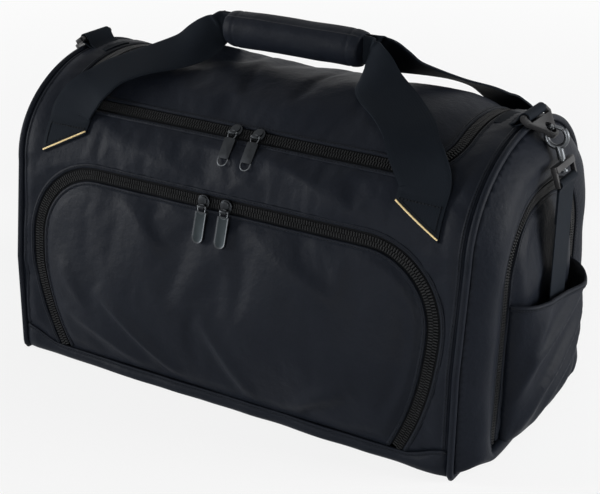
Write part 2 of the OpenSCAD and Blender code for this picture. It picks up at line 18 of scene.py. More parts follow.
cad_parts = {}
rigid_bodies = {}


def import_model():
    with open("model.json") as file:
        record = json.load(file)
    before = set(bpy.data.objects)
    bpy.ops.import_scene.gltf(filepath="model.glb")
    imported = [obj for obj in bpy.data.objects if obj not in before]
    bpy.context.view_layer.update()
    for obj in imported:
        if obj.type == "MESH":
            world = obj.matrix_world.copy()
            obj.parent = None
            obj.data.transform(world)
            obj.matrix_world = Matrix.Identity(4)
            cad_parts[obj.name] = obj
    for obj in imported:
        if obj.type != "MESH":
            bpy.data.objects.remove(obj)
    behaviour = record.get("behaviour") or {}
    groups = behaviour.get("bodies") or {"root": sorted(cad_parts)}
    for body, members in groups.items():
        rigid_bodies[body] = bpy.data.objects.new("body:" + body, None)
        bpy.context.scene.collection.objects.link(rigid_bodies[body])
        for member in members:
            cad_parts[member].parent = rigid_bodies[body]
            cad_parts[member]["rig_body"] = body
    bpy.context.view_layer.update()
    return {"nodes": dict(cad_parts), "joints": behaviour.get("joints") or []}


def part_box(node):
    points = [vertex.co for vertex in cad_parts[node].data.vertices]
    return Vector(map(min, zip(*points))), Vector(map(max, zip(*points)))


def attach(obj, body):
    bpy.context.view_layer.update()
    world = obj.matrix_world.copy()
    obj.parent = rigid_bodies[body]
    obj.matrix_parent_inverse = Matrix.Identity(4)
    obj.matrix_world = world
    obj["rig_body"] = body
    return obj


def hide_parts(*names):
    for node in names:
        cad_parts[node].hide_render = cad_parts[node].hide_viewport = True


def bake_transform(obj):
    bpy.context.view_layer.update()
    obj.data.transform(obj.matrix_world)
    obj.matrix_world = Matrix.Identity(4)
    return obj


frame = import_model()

MM = 0.001
JOINTS = {joint["name"]: joint for joint in frame["joints"]}


# %% Small helpers
def assign(thing, **values):
    """Sets several properties of one thing."""
    for key, value in values.items():
        setattr(thing, key, value)


def modify(piece, kind, **settings):
    """Gives a piece one more modifier."""
    made = piece.modifiers.new(kind, kind)
    assign(made, **settings)
    return made


def only(piece):
    """Selects one piece alone and makes it active."""
    bpy.ops.object.select_all(action="DESELECT")
    piece.select_set(True)
    bpy.context.view_layer.objects.active = piece
    return piece


def new_piece(name, mesh):
    """A piece in the scene with a mesh of its own."""
    made = bpy.data.objects.new(name, mesh)
    bpy.context.scene.collection.objects.link(made)
    return made


def paint(piece, finish):
    """Gives a whole piece one finish."""
    piece.data.materials.clear()
    piece.data.materials.append(finish)


def columns(*values):
    """One array with each of the values as a column."""
    return np.column_stack(values)


@contextmanager
def editing(piece):
    """Edit mode on one piece, with all of it selected."""
    only(piece)
    bpy.ops.object.mode_set(mode="EDIT")
    bpy.ops.mesh.select_all(action="SELECT")
    yield
    bpy.ops.object.mode_set(mode="OBJECT")


print("small helpers ready")

# %% [markdown]
# ## Camera
# The photograph was taken from the front right and above, with a long lens. The camera is built from its
# place and three angles, so the same three numbers can be read against any other picture of the bag.

# %% Camera
CAMERA_PLACE = Vector((0.7170, -1.1908, 0.7212))
CAMERA_TURN, CAMERA_TILT, CAMERA_ROLL = math.radians(30.8), math.radians(23.1), math.radians(0.7)
CAMERA_LENS, SENSOR_W = 85.4, 36

faced = Matrix.Rotation(CAMERA_TURN, 3, "Z") @ Matrix.Rotation(math.pi / 2 - CAMERA_TILT, 3, "X")
axes = faced @ Matrix.Rotation(CAMERA_ROLL, 3, "Z")
bpy.ops.object.camera_add(location=CAMERA_PLACE, rotation=axes.to_euler())
camera = bpy.context.object
camera.data.lens = CAMERA_LENS
camera.data.sensor_width = SENSOR_W
bpy.context.scene.camera = camera
bpy.context.scene.view_settings.view_transform = "Standard"
print("camera", [round(c, 3) for c in CAMERA_PLACE], "lens", CAMERA_LENS)

# %% [markdown]
# ## Shader maths
# A finish is a small tree of nodes. Writing it as Python sums keeps it readable: `Wire` wraps a socket, and
# each operator on it adds one Math node. Any other node comes from `Finish.node`, settings first.


# %% Wires and finishes
def joined(operation, swapped=False):
    """An operator that joins two values by a Math node."""
    def act(self, other):
        return self.math(operation, *((other, self) if swapped else (self, other)))
    return act


class Wire:
    """A value in a finish, which + - * and / join by Math nodes."""

    __add__ = __radd__ = joined("ADD")
    __sub__, __rsub__ = joined("SUBTRACT"), joined("SUBTRACT", swapped=True)
    __mul__ = __rmul__ = joined("MULTIPLY")
    __truediv__ = joined("DIVIDE")

    def __init__(self, finish, socket):
        self.finish, self.socket = finish, socket

    def math(self, operation, a, b=0.0):
        return self.finish.node("ShaderNodeMath", {"operation": operation}, {0: a, 1: b})

    def wave(self, pitch):
        """A ripple from 0 to 1 that repeats every pitch."""
        return self.math("SINE", self * (2 * math.pi / pitch)) * 0.5 + 0.5


class Finish:
    """One material, with its nodes made in code."""

    def __init__(self, name):
        self.material = bpy.data.materials.new(name)
        self.material.use_nodes = True
        self.tree = self.material.node_tree
        self.shader = next(n for n in self.tree.nodes if n.type == "BSDF_PRINCIPLED")

    def node(self, kind, settings=None, values=None, out=0):
        made = self.tree.nodes.new(kind)
        assign(made, **(settings or {}))
        for key, value in (values or {}).items():
            self.join(made.inputs[key], value)
        return Wire(self, made.outputs[out])

    def join(self, socket, value):
        if isinstance(value, Wire):
            self.tree.links.new(value.socket, socket)
        else:
            socket.default_value = value

    def put(self, **values):
        """Sets or links the shader's own sockets: Base_Color stands for Base Color."""
        for key, value in values.items():
            self.join(self.shader.inputs[key.replace("_", " ")], value)
        return self

    def place(self):
        return self.node("ShaderNodeTexCoord", out="Object")

    def flat(self):
        """The piece's own flat pattern, in metres, as two values."""
        uv = self.node("ShaderNodeUVMap", {"uv_map": "pattern"})
        split = self.tree.nodes.new("ShaderNodeSeparateXYZ")
        self.join(split.inputs[0], uv)
        return Wire(self, split.outputs[0]), Wire(self, split.outputs[1])

    def grain(self, scale, detail=2.0, rough=0.5):
        values = {"Vector": self.place(), "Scale": scale, "Detail": detail, "Roughness": rough}
        return self.node("ShaderNodeTexNoise", None, values)

    def tint(self, amount, low, high):
        return self.node(
            "ShaderNodeMix", {"data_type": "RGBA"}, {0: amount, 6: (*low, 1), 7: (*high, 1)}, out=2
        )

    def bump(self, height, distance, strength=1.0):
        values = {"Height": height, "Distance": distance, "Strength": strength}
        return self.node("ShaderNodeBump", None, values)


print("shader helpers ready")

# %% [markdown]
# ## Finishes
# Nearly everything is black, so the finishes differ in weave, sheen and roughness rather than in colour.
# The nylon is a fine plain weave with a soft sheen. Webbing has a coarser rib. The coil is smooth plastic.
# Patterns that follow the cloth read the piece's own flat pattern, which is kept in metres.

# %% Cloth finishes
SHEEN = 0.004
CRUMPLE = 24


def woven(name, low, high, pitch, rough, gloss, depth):
    """A plain weave: threads over and under each other, every pitch, with cloudy wear."""
    made = Finish(name)
    u, v = made.flat()
    weave = u.wave(pitch) * v.wave(pitch) + (1 - u.wave(pitch)) * (1 - v.wave(pitch))
    cloud = made.grain(22, 4.0, 0.6)
    speck = made.grain(520, 2.0)
    crumple = made.grain(58, 5.0, 0.6)
    return made.put(
        Base_Color=made.tint(cloud * 0.45 + speck * 0.55, low, high),
        Roughness=rough - 0.12 + cloud * 0.16 + speck * 0.08,
        Normal=made.bump(weave + speck * 0.5 + crumple * CRUMPLE, depth, 0.55),
        Specular_IOR_Level=gloss,
        Sheen_Weight=SHEEN,
        Sheen_Roughness=0.45,
        Sheen_Tint=(0.75, 0.82, 1.0, 1),
    ).material


def ribbed(name, low, high, rib, rough, depth):
    """Webbing: ribs along its length, crossed by a fine twill."""
    made = Finish(name)
    along, across = made.flat()
    ribs = across.wave(rib)
    twill = (along + across * 0.6).wave(rib * 0.62)
    cloud = made.grain(35, 3.0)
    return made.put(
        Base_Color=made.tint(cloud * 0.6 + twill * 0.4, low, high),
        Roughness=rough + cloud * 0.15 - ribs * 0.06,
        Normal=made.bump(ribs * 0.7 + twill * 0.5, depth, 0.6),
        Specular_IOR_Level=0.03,
        Sheen_Weight=SHEEN,
        Sheen_Roughness=0.4,
    ).material


NYLON = woven(
    "black_nylon", (0.0032, 0.0042, 0.0068), (0.0098, 0.0121, 0.0176),
    pitch=1.1 * MM, rough=0.50, gloss=0.06, depth=0.10 * MM,
)
LINING = woven(
    "grey_lining", (0.012, 0.013, 0.015), (0.024, 0.025, 0.028),
    pitch=0.9 * MM, rough=0.72, gloss=0.15, depth=0.06 * MM,
)
WEBBING = ribbed(
    "black_webbing", (0.0050, 0.0067, 0.0093), (0.0108, 0.0136, 0.0182),
    rib=2.4 * MM, rough=0.64, depth=0.14 * MM,
)
TAPE = ribbed(
    "zip_tape", (0.0036, 0.0040, 0.0046), (0.0072, 0.0076, 0.0084),
    rib=0.9 * MM, rough=0.75, depth=0.06 * MM,
)
THREAD = ribbed(
    "black_thread", (0.008, 0.009, 0.011), (0.018, 0.020, 0.023),
    rib=0.7 * MM, rough=0.5, depth=0.05 * MM,
)
GOLD = ribbed("gold_thread", (0.60, 0.44, 0.20), (0.88, 0.72, 0.42), rib=0.8 * MM, rough=0.42, depth=0.10 * MM)
print("cloth finishes", [m.name for m in (NYLON, LINING, WEBBING, TAPE, THREAD, GOLD)])


# %% Hard finishes
def moulded(name, low, high, rough, gloss, grain, depth):
    """Moulded plastic: one colour with a fine spark grain."""
    made = Finish(name)
    spark = made.grain(grain, 2.0)
    cloud = made.grain(40, 3.0)
    return made.put(
        Base_Color=made.tint(cloud, low, high),
        Roughness=rough + cloud * 0.14,
        Normal=made.bump(spark, depth, 0.4),
        Specular_IOR_Level=gloss,
    ).material


def plated(name, low, high, rough):
    """Plated die casting: cloudy gunmetal with small rubs."""
    made = Finish(name)
    cloud = made.grain(160, 4.0, 0.65)
    rubs = made.grain(1500, 2.0)
    return made.put(
        Base_Color=made.tint(cloud, low, high),
        Metallic=0.85 + rubs * 0.15,
        Roughness=rough + cloud * 0.2 + rubs * 0.08,
        Normal=made.bump(cloud * 0.5 + rubs * 0.5, 0.05 * MM, 0.3),
    ).material


COIL = moulded(
    "zip_coil", (0.008, 0.0084, 0.0092), (0.020, 0.0208, 0.0216),
    rough=0.34, gloss=0.12, grain=700, depth=0.02 * MM,
)
MOULDING = moulded(
    "black_moulding", (0.005, 0.005, 0.006), (0.011, 0.011, 0.012),
    rough=0.32, gloss=0.24, grain=1100, depth=0.03 * MM,
)
BOARD = moulded(
    "base_sheet", (0.012, 0.012, 0.013), (0.024, 0.024, 0.025),
    rough=0.55, gloss=0.32, grain=500, depth=0.08 * MM,
)
GUNMETAL = plated("gunmetal", (0.050, 0.055, 0.060), (0.12, 0.127, 0.135), rough=0.24)
DULL_METAL = plated("dull_gunmetal", (0.009, 0.012, 0.014), (0.024, 0.030, 0.033), rough=0.42)
BLACK_NICKEL = plated("black_nickel", (0.009, 0.010, 0.012), (0.030, 0.033, 0.036), rough=0.24)
RIM_METAL = plated("rim_metal", (0.022, 0.024, 0.027), (0.052, 0.056, 0.060), rough=0.26)
print("hard finishes", [m.name for m in (COIL, MOULDING, BOARD, GUNMETAL, DULL_METAL, BLACK_NICKEL, RIM_METAL)])

# %% [markdown]
# ## Studio
# A pale floor and four large soft lamps. The floor and the world show white to the camera and in reflections,
# but light the bag only as plain pale surfaces, so the soft shadow stays. The light comes low from the front,
# because in the photograph the front pocket is lighter than the lid.


# %% Studio
def seen_white(finish):
    """1 where the eye, a reflection or glass looks, and 0 for light that bounces."""
    path = finish.tree.nodes.new("ShaderNodeLightPath")
    looks = [Wire(finish, path.outputs[k]) for k in ("Is Camera Ray", "Is Glossy Ray", "Is Transmission Ray")]
    return looks[0].math("MINIMUM", looks[0] + looks[1] + looks[2], 1.0)


FLOOR_WHITE, SKY_LIGHT = 0.84, 0.12
FADE_FROM, FADE_OVER = 0.7, 1.5
bpy.ops.mesh.primitive_plane_add(size=60)
floor = bpy.context.object
floor.name = "studio_floor"
floor_finish = Finish("studio_floor")
floor_finish.put(Base_Color=(0.86, 0.86, 0.86, 1), Roughness=0.9)
reach = floor_finish.node("ShaderNodeVectorMath", {"operation": "LENGTH"}, {0: floor_finish.place()}, out="Value")
far = reach.math("MINIMUM", reach.math("MAXIMUM", (reach - FADE_FROM) / FADE_OVER, 0.0), 1.0)
white = seen_white(floor_finish) * (far * (1 - FLOOR_WHITE) + FLOOR_WHITE)
glow = floor_finish.node("ShaderNodeEmission", None, {"Color": (1, 1, 1, 1), "Strength": 1.0})
mixed = floor_finish.node(
    "ShaderNodeMixShader", None, {0: white, 1: Wire(floor_finish, floor_finish.shader.outputs[0]), 2: glow}
)
surface = next(n for n in floor_finish.tree.nodes if n.type == "OUTPUT_MATERIAL").inputs["Surface"]
floor_finish.join(surface, mixed)
floor.data.materials.append(floor_finish.material)


class Sky(Finish):
    """The world's own nodes, wired as a finish is."""

    def __init__(self, world):
        world.use_nodes = True
        self.tree = world.node_tree
        self.shader = self.tree.nodes["Background"]


world = bpy.data.worlds.new("studio")
bpy.context.scene.world = world
sky = Sky(world)
sky.put(Color=(1, 1, 1, 1), Strength=seen_white(sky) * (1 - SKY_LIGHT) + SKY_LIGHT)


def lamp(name, place, aim, size, power):
    """A square soft box that points at aim."""
    bpy.ops.object.light_add(type="AREA", location=place)
    made = bpy.context.object
    made.name = name
    made.rotation_euler = (Vector(aim) - Vector(place)).to_track_quat("-Z", "Y").to_euler()
    assign(made.data, shape="SQUARE", size=size, energy=power)


LAMPS = (
    ("key_lamp", (-2.4, -1.4, 0.6), (0, 0, 0.12), 0.8, 60),
    ("front_lamp", (0.5, -2.7, 0.12), (0, 0, 0.06), 0.8, 44),
    ("top_lamp", (0.2, 0.6, 2.6), (0, 0, 0.2), 1.8, 2),
    ("end_lamp", (2.1, 0.7, 0.6), (0.2, 0, 0.12), 1.0, 54),
)
for row in LAMPS:
    lamp(*row)
print("studio", floor.name, "and", len(LAMPS), "lamps")

# %% [markdown]
# ## The form under the cloth
# Every panel of the wrap lies on one loaf-shaped form. Its outline runs from the middle of the base, up the
# front wall, over the top and down the rear. A place on the form is (x, s): x along the bag, s along the outline.

# %% The loaf outline
ENDS = ((-1, "left"), (1, "right"))
SIDES = ((1, "front"), (-1, "rear"))
WRAP_X, HALF_D, SEAM_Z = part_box("base_tray")[1]
END_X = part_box("right_piping")[1].x
FACE_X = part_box("right_end_panel")[1].x
TOP_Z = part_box("lid_panel")[1].z
CLOTH_T = 3 * MM
WALL_H, LEAN_Z, WALL_LEAN, BASE_R = 0.214, 0.110, 0.012, 0.010
TOP_HW, TOP_H = HALF_D - WALL_LEAN, TOP_Z - WALL_H
HINGE_Y = JOINTS["lid_hinge"]["pos_m"][1]


def unit(vectors):
    return vectors / np.maximum(np.linalg.norm(vectors, axis=-1, keepdims=True), 1e-12)


def turn(centre, radius, first, last, steps):
    """Points of an arc, with the angles in degrees."""
    angles = np.radians(np.linspace(first, last, steps))
    return columns(centre[0] + radius * np.cos(angles), centre[1] + radius * np.sin(angles))


def run_length(points):
    """The distance along a line of points at each of them."""
    return np.concatenate(([0], np.cumsum(np.linalg.norm(np.diff(points, axis=0), axis=1))))


def even(points, step):
    """The same line with points about every step."""
    run = run_length(points)
    count = max(2, int(round(run[-1] / step)) + 1)
    at = np.linspace(0, run[-1], count)
    return columns(*(np.interp(at, run, values) for values in points.T))


def even_loop(points, step):
    """The same for a closed loop."""
    return even(np.vstack((points, points[:1])), step)[:-1]


def loaf_half():
    """The front half of the outline as (y, z), from the middle of the base to the crown. The top is an ellipse."""
    return np.vstack((
        [[0, 0]],
        turn((BASE_R - HALF_D, BASE_R), BASE_R, 270, 180, 10),
        [[-HALF_D, LEAN_Z]],
        turn((0, 0), 1.0, 180, 90, 48) * (TOP_HW, TOP_H) + (0, WALL_H),
    ))


HALF_LINE = even(loaf_half(), 2 * MM)
HALF_RUN = run_length(HALF_LINE)
TOP_S = HALF_RUN[-1]
LOOP_LINE = np.vstack((HALF_LINE, HALF_LINE[-2:0:-1] * (-1, 1)))
LOOP_RUN = np.concatenate((HALF_RUN, 2 * TOP_S - HALF_RUN[-2:0:-1]))
slope = unit(np.roll(LOOP_LINE, -1, axis=0) - np.roll(LOOP_LINE, 1, axis=0))
LOOP_OUT = columns(-slope[:, 1], slope[:, 0])


def on_wrap(flat):
    """Places and outward directions on the wrap for points (x, s)."""
    s = flat[:, 1]
    y, z, out_y, out_z = (
        np.interp(s, LOOP_RUN, values, period=2 * TOP_S)
        for values in (LOOP_LINE[:, 0], LOOP_LINE[:, 1], LOOP_OUT[:, 0], LOOP_OUT[:, 1])
    )
    return columns(flat[:, 0], y, z), columns(0 * s, out_y, out_z)


def wall_s(z):
    """Where the height z comes on the front half."""
    return np.interp(z, HALF_LINE[:, 1], HALF_RUN)


def top_s(y):
    """Where y comes on the rounded top."""
    over = LOOP_LINE[:, 1] >= WALL_H
    return np.interp(y, LOOP_LINE[over, 0], LOOP_RUN[over])


print("outline", round(2 * TOP_S, 3), "m round")

# %% [markdown]
# ## Cutting panels
# A bag maker draws each panel flat and cuts it out. `cut` does the same: it fills a flat outline with even
# triangles, because even triangles crease the same way in every direction when the cloth is simulated.


# %% Cutting table
def crossings(points, loop):
    """How many times a level line from each point crosses a closed loop."""
    ends = np.roll(loop, -1, axis=0)
    x, y = points[:, :1], points[:, 1:]
    spans = (loop[:, 1] > y) != (ends[:, 1] > y)
    rise = np.where(ends[:, 1] == loop[:, 1], 1e-12, ends[:, 1] - loop[:, 1])
    meet = loop[:, 0] + (y - loop[:, 1]) * (ends[:, 0] - loop[:, 0]) / rise
    return (spans & (x < meet)).sum(axis=1)


def inside(points, loops):
    return sum(crossings(points, loop) for loop in loops) % 2 == 1


def to_segment(points, a, b):
    """How far along a segment each point comes, from 0 to 1, and its distance from it."""
    run = b - a
    t = np.clip(((points - a) @ run) / max(run @ run, 1e-18), 0, 1)
    return t, np.linalg.norm(points - a - t[:, None] * run, axis=1)


def rim_distance(points, loops):
    """Distance of each point from the nearest edge of the cut."""
    nearest = np.full(len(points), 1e9)
    for loop in loops:
        for a, b in zip(loop, np.roll(loop, -1, axis=0)):
            nearest = np.minimum(nearest, to_segment(points, a, b)[1])
    return nearest


def cut(outlines, step):
    """Fills flat outlines with triangles. Gives the points, the faces and each point's distance from the rim."""
    loops = [even_loop(outline, step) for outline in outlines]
    low, high = loops[0].min(axis=0), loops[0].max(axis=0)
    rows = np.arange(low[1], high[1], step * math.sqrt(3) / 2)
    grid = np.array([
        (x + (step / 2 if k % 2 else 0), y)
        for k, y in enumerate(rows)
        for x in np.arange(low[0], high[0], step)
    ])
    grid = grid[inside(grid, loops)]
    grid = grid[rim_distance(grid, loops) > 0.6 * step]
    points = np.vstack((*loops, grid))
    edges, first = [], 0
    for loop in loops:
        count = len(loop)
        edges += [(first + k, first + (k + 1) % count) for k in range(count)]
        first += count
    made = delaunay_2d_cdt([Vector(p) for p in points], edges, [], 0, 1e-7)
    flat = np.array([tuple(p) for p in made[0]])
    faces = np.array([tuple(f) for f in made[2]])
    faces = faces[inside(flat[faces].mean(axis=1), loops)]
    return flat, faces, rim_distance(flat, loops)


def build(name, points, faces, pattern, finish):
    """A new piece from points and faces, with its flat pattern in metres as a UV map."""
    mesh = bpy.data.meshes.new(name)
    mesh.from_pydata([tuple(p) for p in points], [], [tuple(int(k) for k in f) for f in faces])
    uv = mesh.uv_layers.new(name="pattern")
    corners = np.zeros(len(mesh.loops), int)
    mesh.loops.foreach_get("vertex_index", corners)
    uv.data.foreach_set("uv", np.asarray(pattern, float)[corners].ravel())
    mesh.polygons.foreach_set("use_smooth", [True] * len(mesh.polygons))
    for entry in finish if isinstance(finish, (list, tuple)) else [finish]:
        mesh.materials.append(entry)
    return new_piece(name, mesh)


def crease(flat, line, width, height):
    """A soft fold along a bent line, which fades out at both ends."""
    line = np.array(line)
    run = run_length(line)
    nearest, share = np.full(len(flat), 1e9), np.zeros(len(flat))
    for a, b, s_a, s_b in zip(line, line[1:], run, run[1:]):
        t, far = to_segment(flat, a, b)
        closer = far < nearest
        nearest[closer] = far[closer]
        share[closer] = (s_a + (s_b - s_a) * t[closer]) / run[-1]
    return height * np.exp(-((nearest / width) ** 2)) * np.sin(np.pi * np.clip(share, 0.04, 0.96)) ** 0.5


def folded(flat, rows):
    """Straight soft folds laid over each other: rows of start, end, width and height in millimetres."""
    return sum(crease(flat, (start, end), width, height * MM) for start, end, width, height in rows)


# Each panel's own unevenness: its size in metres, its height in millimetres and its seed.
CLOUDS = {
    "front": (0.05, 1.6, 1), "rear": (0.07, 2.2, 2), "base": (0.045, 4.5, 4), "lid": (0.06, 2.4, 5),
    "front_pocket": (0.06, 2.2, 6), "end": (0.04, 2.4, 7), "end_pocket": (0.045, 2.0, 8), "slip": (0.035, 1.8, 11),
    "grip": (0.018, 1.0, 21), "liner": (0.05, 2.0, 31),
}


def rumple(points, panel):
    """Cloudy unevenness of a panel's flat or solid points."""
    scale, height, seed = CLOUDS[panel]
    shift = Vector((seed * 7.1, seed * 3.3, seed * 5.7))
    return height * MM * np.array([noise.noise(Vector(p).to_3d() / scale + shift) for p in points])


def smooth_step(t):
    return t * t * (3 - 2 * t)


def ramp(rim, width):
    """Rises smoothly from 0 at the rim to 1 at the width."""
    return smooth_step(np.clip(rim / width, 0, 1))


def soft_min(a, b, blur):
    """The lower of two heights, rounded where they cross."""
    return -blur * np.log(np.exp(-a / blur) + np.exp(-b / blur))


print("cutting table ready")

# %% [markdown]
# ## Simulated cloth
# Each panel is pinned along its seams, cut a little too large, and blown out gently from inside, as the
# paper stuffing of a new bag does. Blender's cloth then finds the creases. All panels are stepped together.

# %% Cloth simulation
CLOTHS, CUTS = [], {}
SIM_FRAMES = 22
PIN_RIM = 1.2 * MM
NYLON_T, LINING_T = 1.8 * MM, 0.8 * MM


def lay(name, outlines, step, place, lift, loose=None, finish=(NYLON, LINING)):
    """Cuts a panel, lays it on its form and raises it by lift(flat, rim). loose(flat) is 0 where it is held."""
    flat, faces, rim = cut(outlines, step)
    points, out = place(flat)
    held = rim < PIN_RIM if loose is None else (rim < PIN_RIM) | (loose(flat) == 0)
    run, rise = flat[faces[:, 1:]].transpose(1, 0, 2) - flat[faces[:, 0]]
    area = np.abs(run[:, 0] * rise[:, 1] - run[:, 1] * rise[:, 0]).sum() / 2
    CUTS[name] = (*np.ptp(flat, axis=0), area)
    points = points + out * lift(flat, rim)[:, None]
    a, b, c = points[faces[0]]
    if np.dot(np.cross(b - a, c - a), out[faces[0][0]]) < 0:
        faces = faces[:, ::-1]
    made = build(name, points, faces, flat, finish)
    seams = made.vertex_groups.new(name="seams")
    seams.add([int(k) for k in np.nonzero(held)[0]], 1.0, "REPLACE")
    return made


def stuff(piece, pressure, grow, bending, cap):
    """Readies a pinned panel for the simulation, and limits how far it may move."""
    modifier = modify(piece, "CLOTH")
    assign(
        modifier.settings, quality=6, mass=0.15, tension_stiffness=12, compression_stiffness=12, shear_stiffness=6,
        bending_stiffness=bending, air_damping=3, vertex_group_mass="seams", shrink_min=-grow, use_pressure=True,
        uniform_pressure_force=pressure,
    )
    modifier.settings.effector_weights.gravity = 0
    modifier.collision_settings.use_collision = False
    CLOTHS.append((piece, cap))


def vertex_places(piece):
    places = np.zeros(len(piece.data.vertices) * 3)
    piece.data.vertices.foreach_get("co", places)
    return places.reshape(-1, 3)


def set_places(piece, places):
    piece.data.vertices.foreach_set("co", np.asarray(places, float).ravel())
    piece.data.update()


def apply_all(piece):
    """Applies every modifier of a piece, in order."""
    only(piece)
    for modifier in list(piece.modifiers):
        bpy.ops.object.modifier_apply(modifier=modifier.name)
    return piece


def run_cloth():
    """Steps all panels together, keeps each within its cap, and leaves plain meshes."""
    for frame_number in range(1, SIM_FRAMES + 1):
        bpy.context.scene.frame_set(frame_number)
    for piece, cap in CLOTHS:
        before = vertex_places(piece)
        apply_all(piece)
        move = vertex_places(piece) - before
        far = np.linalg.norm(move, axis=1)
        held = cap * np.tanh(far / cap) / np.maximum(far, 1e-9)
        set_places(piece, before + move * held[:, None])
        print("cloth", piece.name, "moved", round(float((far * held).max()) * 1000, 1), "mm")
    bpy.context.scene.frame_set(1)


def thicken(piece, depth, relax=2):
    """Evens out single points, then gives the cloth its thickness inwards."""
    if relax:
        modify(piece, "SMOOTH", factor=0.5, iterations=relax, vertex_group="seams", invert_vertex_group=True)
    modify(piece, "SOLIDIFY", thickness=depth, offset=-1, material_offset=len(piece.data.materials) - 1)
    return apply_all(piece)


def dress(piece, body, slot, *nodes):
    """Hangs a piece on the body that carries it, if it has one, and hides the nodes it stands for. The slot is not
    used.
    """
    if body:
        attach(piece, body)
    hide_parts(*nodes)
    return piece


def sheet(piece, *rests_on, held="stretched"):
    """Prints a panel's size as it was cut. A frame round openings counts as strips of its area."""
    width, length, area = (float(value) for value in CUTS[piece.name])
    if area < 0.3 * width * length:
        length = area / width
    print(piece.name, "cut", round(width, 3), "x", round(length, 3), "m,", round(area, 4), "m2")


print("simulation ready,", SIM_FRAMES, "steps")

# %% [markdown]
# ## Panel outlines
# Two curves shape the whole bag: the arch of the pockets, and the U of the main zip. Each zip runs in the
# middle of a gap between two cloth edges, so each curve is drawn three times, once for the zip and once for
# each cloth edge.

# %% Panel outlines
ZIP_HW = 7 * MM
LID_HW, LID_FRONT, LID_R = 0.214, 0.095, 0.038
ZIP_SLOPE = math.atan(TOP_H * LID_FRONT / (TOP_HW * math.sqrt(TOP_HW**2 - LID_FRONT**2)))
FRONT_ARCH = dict(middle=0.231, foot=0.200, top=0.218, corner=0.076)
END_ARCH = dict(middle=0.082, foot=0.090, top=0.250, corner=0.072)
SEAM_RISE = 14 * MM


def mirrored(half):
    """A right half and its mirror image as one line."""
    return np.vstack((half, half[::-1] * (-1, 1)))


def arch(shape, inset, start):
    """An arch from its right foot over to its left foot, as (across, height)."""
    spring = shape["top"] - shape["corner"]
    z = np.linspace(start, spring, 30)
    side = shape["middle"] - (shape["middle"] - shape["foot"]) * ((spring - z) / (spring - SEAM_Z)) ** 2
    right = columns(side - inset, z)
    corner_at = (shape["middle"] - shape["corner"], spring)
    corner = turn(corner_at, shape["corner"] - inset, 0, 90, 24)[1:]
    return mirrored(np.vstack((right, corner)))


def lid_u(inset, rear):
    """The U of the main zip from its right end forward and round to its left end, as (x, y)."""
    angles = np.radians(np.linspace(0, 90, 24))
    grown = LID_R - inset
    corner = columns(
        LID_HW - LID_R + grown * np.cos(angles),
        LID_R - LID_FRONT - (LID_R - inset * math.cos(ZIP_SLOPE)) * np.sin(angles),
    )
    return mirrored(np.vstack(([[LID_HW - inset, rear]], corner)))


def on_top(plan):
    """A plan outline (x, y) as places (x, s) on the wrap."""
    return columns(plan[:, 0], top_s(plan[:, 1]))


def on_front(points):
    """A front outline (x, z) as places (x, s) on the wrap."""
    return columns(points[:, 0], wall_s(points[:, 1]))


def on_plane(axis, level):
    """Places on an upright face at one level of an axis, for the other two coordinates, facing out."""
    def place(flat):
        out = np.zeros((len(flat), 3))
        out[:, axis] = np.sign(level)
        return np.insert(flat, axis, level, axis=1), out
    return place


def seam_run(first, last):
    """The base seam as places (x, s) on the front half: level under the pocket, higher towards the ends."""
    x = np.linspace(first, last, 40)
    flat = FRONT_ARCH["foot"] + ZIP_HW
    return columns(x, wall_s(SEAM_Z + SEAM_RISE * ramp(np.abs(x) - flat, WRAP_X - flat)))


def to_rear(run):
    """The same places on the rear half."""
    return run * (1, -1) + (0, 2 * TOP_S)


END_FACE = {side: on_plane(0, side * FACE_X) for side, _ in ENDS}
REAR_Y = HINGE_Y + 3 * MM
SEAM_S = wall_s(SEAM_Z)
HINGE_S = top_s(REAR_Y)
print("outlines ready")

# %% [markdown]
# ## Body cloth
# The front cloth is a frame round the pocket, and runs up beside the lid to its hinge. The rear cloth is plain.
# Both get a few soft folds, where the photograph has them or where a stuffed bag would, before the
# simulation adds more. They lie flat and are held where the handles are sewn on.

# %% Front and rear cloth
STEP = 4.5 * MM
WEB_W, WEB_T = 0.050, 2.4 * MM
LEG_X, ANCHOR_Z, ANCHOR_CUT, ANCHOR_TOP = 0.202, 0.230, 0.025, 0.260
CALM_ABOVE, CALM_FADE = 0.025, 12 * MM
REAR_SWELL = 9 * MM


def calm(flat):
    """0 where a handle's end is sewn down or lies close, rising to 1 a little way off it."""
    z = on_wrap(flat)[0][:, 2]
    beside = np.abs(np.abs(flat[:, 0]) - LEG_X) - WEB_W / 2 - 2 * MM
    off = np.maximum(np.maximum(beside, ANCHOR_Z - 3 * MM - z), np.maximum(z - ANCHOR_TOP - CALM_ABOVE, 0))
    return np.clip(off / CALM_FADE, 0, 1)


def swelling(across, up, half, foot, top, rise):
    """How far a stuffed panel stands out, rounded between its two directions."""
    tall = rise * (1 - (2 * (up - foot) / (top - foot) - 1) ** 2)
    wide = (rise + 2 * MM) * (1 - (across / half) ** 2)
    return np.maximum(soft_min(tall, wide, 1.5 * MM), 0)


FRONT_FOLDS = (
    ((-0.160, 0.262), (-0.050, 0.240), 0.009, 1.6),
    ((0.030, 0.264), (0.140, 0.244), 0.010, 3.0),
    ((-0.050, 0.268), (0.020, 0.262), 0.007, 1.8),
    ((0.243, 0.205), (0.250, 0.120), 0.008, 2.6),
    ((0.218, 0.075), (0.254, 0.096), 0.004, -1.8),
    ((-0.218, 0.085), (-0.254, 0.096), 0.004, -1.6),
    ((-0.244, 0.205), (-0.240, 0.120), 0.008, 2.4),
    ((0.214, 0.2645), (0.254, 0.2620), 0.003, -2.0),
)


def front_lift(flat, rim):
    soft = folded(on_wrap(flat)[0][:, [0, 2]], FRONT_FOLDS) + 1.5 * MM + rumple(flat, "front")
    return ramp(rim, 0.016) * calm(flat) * soft


